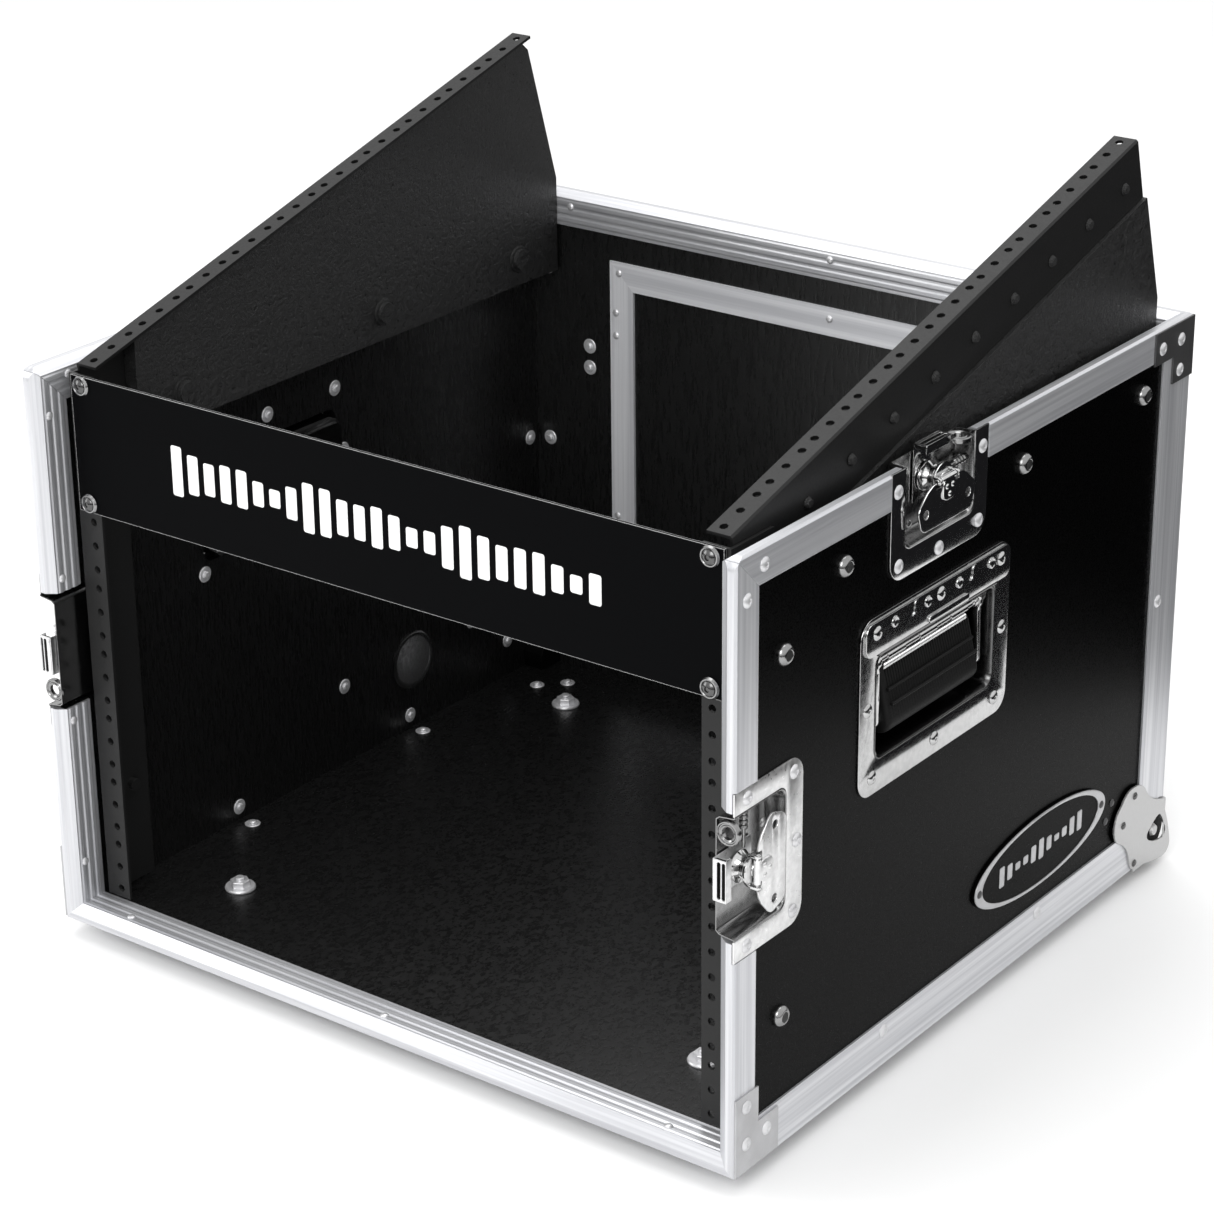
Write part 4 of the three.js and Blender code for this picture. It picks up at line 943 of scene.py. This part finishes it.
def handle_arms():
    """The bail's two plated side arms with their eyes, its cross bar and its return spring."""
    parts = []
    across = facing(Vector((0, 0, 1)), Vector((0, 1, 0)), Vector((-1, 0, 0)), (0, 0, 0))
    eye = arc(0, BAIL_REACH, 5, -40, 220, 14)
    outline = [*arc(0, 0, 4.2, 180, 360, 10), (3.6, 30), *eye, (-3.6, 30)]
    arm = plate([outline, circle(0, BAIL_REACH, 2, 12)], -1.7, 1.7, 0.5)
    socket = lathe([(2.2, -4.4), (3.4, -4.4), (3.4, 4.4), (2.2, 4.4), (2.2, -4.4)], 16)
    for x in (-55, 55):
        parts.append((arm, move(x, BAIL_Y - BAIL_REACH, BAIL_Z) @ across))
        parts.append((socket, move(x, BAIL_Y, BAIL_Z) @ turn(90, "Y")))
    bar = lathe([(0, -54), (3.2, -54), (3.2, 54), (0, 54)], 16)
    parts.append((bar, move(0, BAIL_Y - BAIL_REACH, BAIL_Z) @ turn(90, "Y")))
    edge_y, edge_z, _ = GRIP_EDGE
    parts.append((return_spring(), move(0, edge_y + 2.6, edge_z + 1.4) @ turn(90, "Y")))
    return merged(parts)


def return_spring():
    """Close-wound coil along the grip's upper edge."""
    half, pitch, inner, outer = 45, 1.5, 1.7, 2.4
    profile = [(0, -half), (inner, -half)]
    for i in range(round(2 * half / pitch)):
        start = -half + i * pitch
        profile += [(outer, start + pitch * 0.3), (outer, start + pitch * 0.6), (inner, start + pitch * 0.9)]
    return lathe(profile + [(0, half)], 12)


def grip_ring(x, shrink, notch):
    """The grip in section at x: round at its heel and thin at its edge, which the notch cuts into."""
    (y0, z0, r0), (y1, z1, r1) = GRIP_HEEL, GRIP_EDGE
    lean = math.degrees(math.atan2(z1 - z0, y1 - y0))
    span = math.degrees(math.acos((r0 - r1) / math.hypot(y1 - y0, z1 - z0)))
    heel = arc(y0, z0, r0 - shrink, lean + span, lean - span + 360, 16)
    edge = arc(y1 - notch, z1, r1 - shrink, lean - span, lean + span, 8)
    return [(x, y, z) for y, z in heel + edge]


def handle_grip():
    """Moulded grip with a comb of fine notches along its upper edge."""
    half_length, ribs, around, steps = 49, 36, 3.0, 5

    def end_ring(side, step):
        """Section of a rounded end: step 0 is the very end, and the last step is the full grip."""
        shrink = around * (1 - math.sqrt(1 - (1 - step / steps) ** 2))
        return grip_ring(side * (half_length - around * step / steps), shrink, 0)

    sections = [end_ring(-1, step) for step in range(steps)]
    pitch = (2 * half_length - 2 * around) / ribs
    for i in range(ribs):
        start = -half_length + around + pitch * i
        for share, notch in ((0, 0), (0.45, 0), (0.5, 2.2), (0.95, 2.2)):
            sections.append(grip_ring(start + share * pitch, 0, notch))
    sections += [end_ring(1, step) for step in range(steps, -1, -1)]
    bead = lathe([(0, -46), (1.1, -46), (1.1, 46), (0, 46)], 10)
    beads = [(bead, move(0, y, z) @ turn(90, "Y")) for y, z in ((-6, 0.4), (2, -2.6))]
    return merged([(loft(sections), UPRIGHT), *beads])


def add_handles():
    dish, tub, arms, grip = handle_flange(), handle_tub(), handle_arms(), handle_grip()
    place = facing(*RIGHT_SIDE, (PANEL_OUT, HANDLE_AT.y, HANDLE_AT.z))
    for word, side in SIDES:
        matrix = mirrored(place, side)
        body = f"handle_{word}_bail"
        shell = add_piece(f"handle_{word}_dish_look", dish, HANDLE_CHROME, "case", matrix)
        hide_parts(f"handle_{word}_dish")
        # The tub is the same pressing as the flange, made near black here as painted shade of its deep
        # recess.
        add_piece(f"handle_{word}_tub", tub, DARK_AND_SHADED_CHROME, "case", matrix)
        add_piece(f"handle_{word}_arms", arms, CHROME, body, matrix)
        bar = add_piece(f"handle_{word}_grip", grip, RUBBER, body, matrix, sharp=50)
        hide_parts(body)


# -------------------- graphics
def add_blank_graphic():
    """A plain row of level bars, printed on the blank panel."""
    level = middle("blank_panel").z
    bars, pitch, width = 25, 13, 8.4
    parts = []
    for i in range(bars):
        x = (i - (bars - 1) / 2) * pitch
        share = 0.5 + 0.5 * math.cos(i * 1.1) * math.cos(i * 0.37 + 0.6)
        height = 5 + 12 * share
        outline = rounded_box(x - width / 2, x + width / 2, -height, height, 1.5, 3)
        parts.append((plate([outline], -0.05, 0.16, 0.05), UPRIGHT))
    matrix = facing(Vector((1, 0, 0)), Vector((0, 0, 1)), Vector((0, -1, 0)), (0, BLANK_FACE, level))
    add_piece("blank_graphic", merged(parts), WHITE, "case", matrix)


def ellipse(half_long, half_high):
    return [(x * half_long, y * half_high) for x, y in circle(0, 0, 1, 64)]


def add_badge_graphic():
    """The oval badge's plain rim, its level bars and its two rivets."""
    low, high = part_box("badge")
    half_long = (high.y - low.y) / 2 / MM
    half_high = (high.z - low.z) / 2 / MM
    outside, inside = ellipse(half_long - 0.2, half_high - 0.2), ellipse(half_long - 9, half_high - 2)
    parts = [(plate([outside, inside], -0.3, 0.7, 0.25), UPRIGHT)]
    bars, pitch, width = 11, 9.6, 5.8
    for i in range(bars):
        x = (i - (bars - 1) / 2) * pitch
        height = 4.6 + 2.4 * math.cos(i * 1.3)
        outline = rounded_box(x - width / 2, x + width / 2, -height, height, 1.2, 4)
        parts.append((plate([outline], -0.1, 0.3, 0.1), UPRIGHT))
    matrix = facing(*RIGHT_SIDE, (high.x / MM, BADGE_AT.y, BADGE_AT.z))
    add_piece("badge_trim", merged(parts), SILVER, "case", matrix)
    heads = [(SMALL_DOME, move(x, 0, 0.5)) for x in (-half_long + 5.5, half_long - 5.5)]
    add_piece("badge_rivets", merged(heads), BRACKET, "case", matrix)


def add_port_disc():
    """Round cover plate inside the left wall."""
    disc = lathe([(0, 0), (21, 0), (21.5, 0.8), (20, 1.4), (17.5, 1.0), (0, 1.1)], 40)
    matrix = outward_frame((1, 0, 0), (-PANEL_IN, BADGE_AT.y + 3, BADGE_AT.z - 6))
    add_piece("port_disc", disc, DULL_AND_SHADED_CHROME, "case", matrix)


def add_keepers():
    """Keeper plates beside the rear door, under the claws of its catches."""
    holes = [circle(0, y, 1.8, 12) for y in (-10, 10)]
    sheet = plate([rounded_box(-9, 9, -15, 15, 3, 4), *holes], 0.05, 1, 0.3)
    panel = (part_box("rear_panel")[1].y - RIM_LOW.y) / MM
    for node in ("door_catch_lower", "door_catch_upper"):
        matrix = outward_frame((0, 1, 0), (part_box(node)[0].x / MM, panel, middle(node).z))
        add_piece(f"{node}_keeper", sheet, CHROME, "case", matrix)


# -------------------- stage, light and camera
FLOOR_TURN = 42
AIM = Vector((0, 0, 0.2))


def add_floor(name, outline, hole, glossy):
    """A flat sheet on the floor, between its outline and an optional hole, both of four corners."""
    mesh = bpy.data.meshes.new(name)
    if hole:
        sides = [(i, (i + 1) % 4, (i + 1) % 4 + 4, i + 4) for i in range(4)]
        mesh.from_pydata(outline + hole, [], sides)
    else:
        mesh.from_pydata(outline, [], [(0, 1, 2, 3)])
    floor = bpy.data.objects.new(name, mesh)
    bpy.context.scene.collection.objects.link(floor)
    floor.visible_glossy = glossy
    mesh.materials.append(FLOOR)


def floor_corners(half_width, near, far):
    """Corners of a rectangle on the floor, from near to far along a line turned from x towards y."""
    spin = Matrix.Rotation(math.radians(FLOOR_TURN), 3, "Z")
    corners = ((near, -half_width), (far, -half_width), (far, half_width), (near, half_width))
    return [spin @ Vector((x, y, 0)) for x, y in corners]


def lay_floor():
    """The hardware mirrors only the near part, which ends to the right of the case and behind it."""
    near = floor_corners(1.8, -2.2, 0.62)
    add_floor("floor_near", near, None, True)
    add_floor("floor_far", floor_corners(14, -14, 14), near, False)


def floor_paint():
    shader = Shader("floor_paint", grey(0.86), 0, 0.9)
    shader.set_gloss(0.0)
    shader.vary_color(shader.noise(3, 2), grey(0.85), grey(0.87))
    return shader.material


FLOOR = floor_paint()


def add_softbox(name, place, size, power):
    """A square or oblong lamp that shines at the middle of the case."""
    light = bpy.data.lights.new(name, "AREA")
    light.shape = "RECTANGLE"
    light.size, light.size_y = size
    light.energy = power
    holder = bpy.data.objects.new(name, light)
    bpy.context.scene.collection.objects.link(holder)
    holder.location = place
    holder.rotation_euler = (AIM - Vector(place)).to_track_quat("-Z", "Y").to_euler()
    holder.visible_camera = False


def light_studio():
    """A sky that is nearly black below the horizon and white from just above it, and three lamps."""
    world = bpy.data.worlds.new("studio")
    bpy.context.scene.world = world
    world.use_nodes = True
    tree = world.node_tree
    background = tree.nodes["Background"]
    coordinates = tree.nodes.new("ShaderNodeTexCoord")
    split = tree.nodes.new("ShaderNodeSeparateXYZ")
    tree.links.new(coordinates.outputs["Generated"], split.inputs[0])
    ramp = tree.nodes.new("ShaderNodeValToRGB")
    ramp.color_ramp.elements[0].position = 0.49
    ramp.color_ramp.elements[0].color = (0.012, 0.012, 0.013, 1)
    ramp.color_ramp.elements[1].position = 0.56
    ramp.color_ramp.elements[1].color = (1.0, 1.0, 1.0, 1)
    lift = tree.nodes.new("ShaderNodeMath")
    lift.operation = "MULTIPLY_ADD"
    lift.inputs[1].default_value = 0.5
    lift.inputs[2].default_value = 0.5
    tree.links.new(split.outputs["Z"], lift.inputs[0])
    tree.links.new(lift.outputs[0], ramp.inputs["Fac"])
    tree.links.new(ramp.outputs["Color"], background.inputs["Color"])
    background.inputs["Strength"].default_value = 1.05
    add_softbox("key", (0.8, -2.0, 1.6), (1.2, 1.2), 22)
    add_softbox("top", (-0.3, 0.2, 2.2), (1.8, 1.8), 22)
    add_softbox("left_fill", (-1.8, -1.4, 1.0), (1.0, 1.2), 11)


def add_camera():
    """A long lens, looking down at the case over its right front corner."""
    camera = bpy.data.cameras.new("camera")
    camera.sensor_width = 36
    camera.lens = 98.95
    camera.clip_end = 50
    holder = bpy.data.objects.new("camera", camera)
    bpy.context.scene.collection.objects.link(holder)
    place, angles = (1169.0, -1309.0, 1034.6), (66.74, 0.578, 36.854)
    holder.location = CASE @ Vector(place)
    holder.rotation_euler = [math.radians(angle) for angle in angles]
    bpy.context.scene.camera = holder


finish_frame()
add_rivets()
add_latches()
add_handles()
add_blank_graphic()
add_badge_graphic()
add_port_disc()
add_keepers()
add_foot_nuts()
add_rack_screws()
lay_floor()
light_studio()
add_camera()
bpy.context.scene.view_settings.view_transform = "Standard"
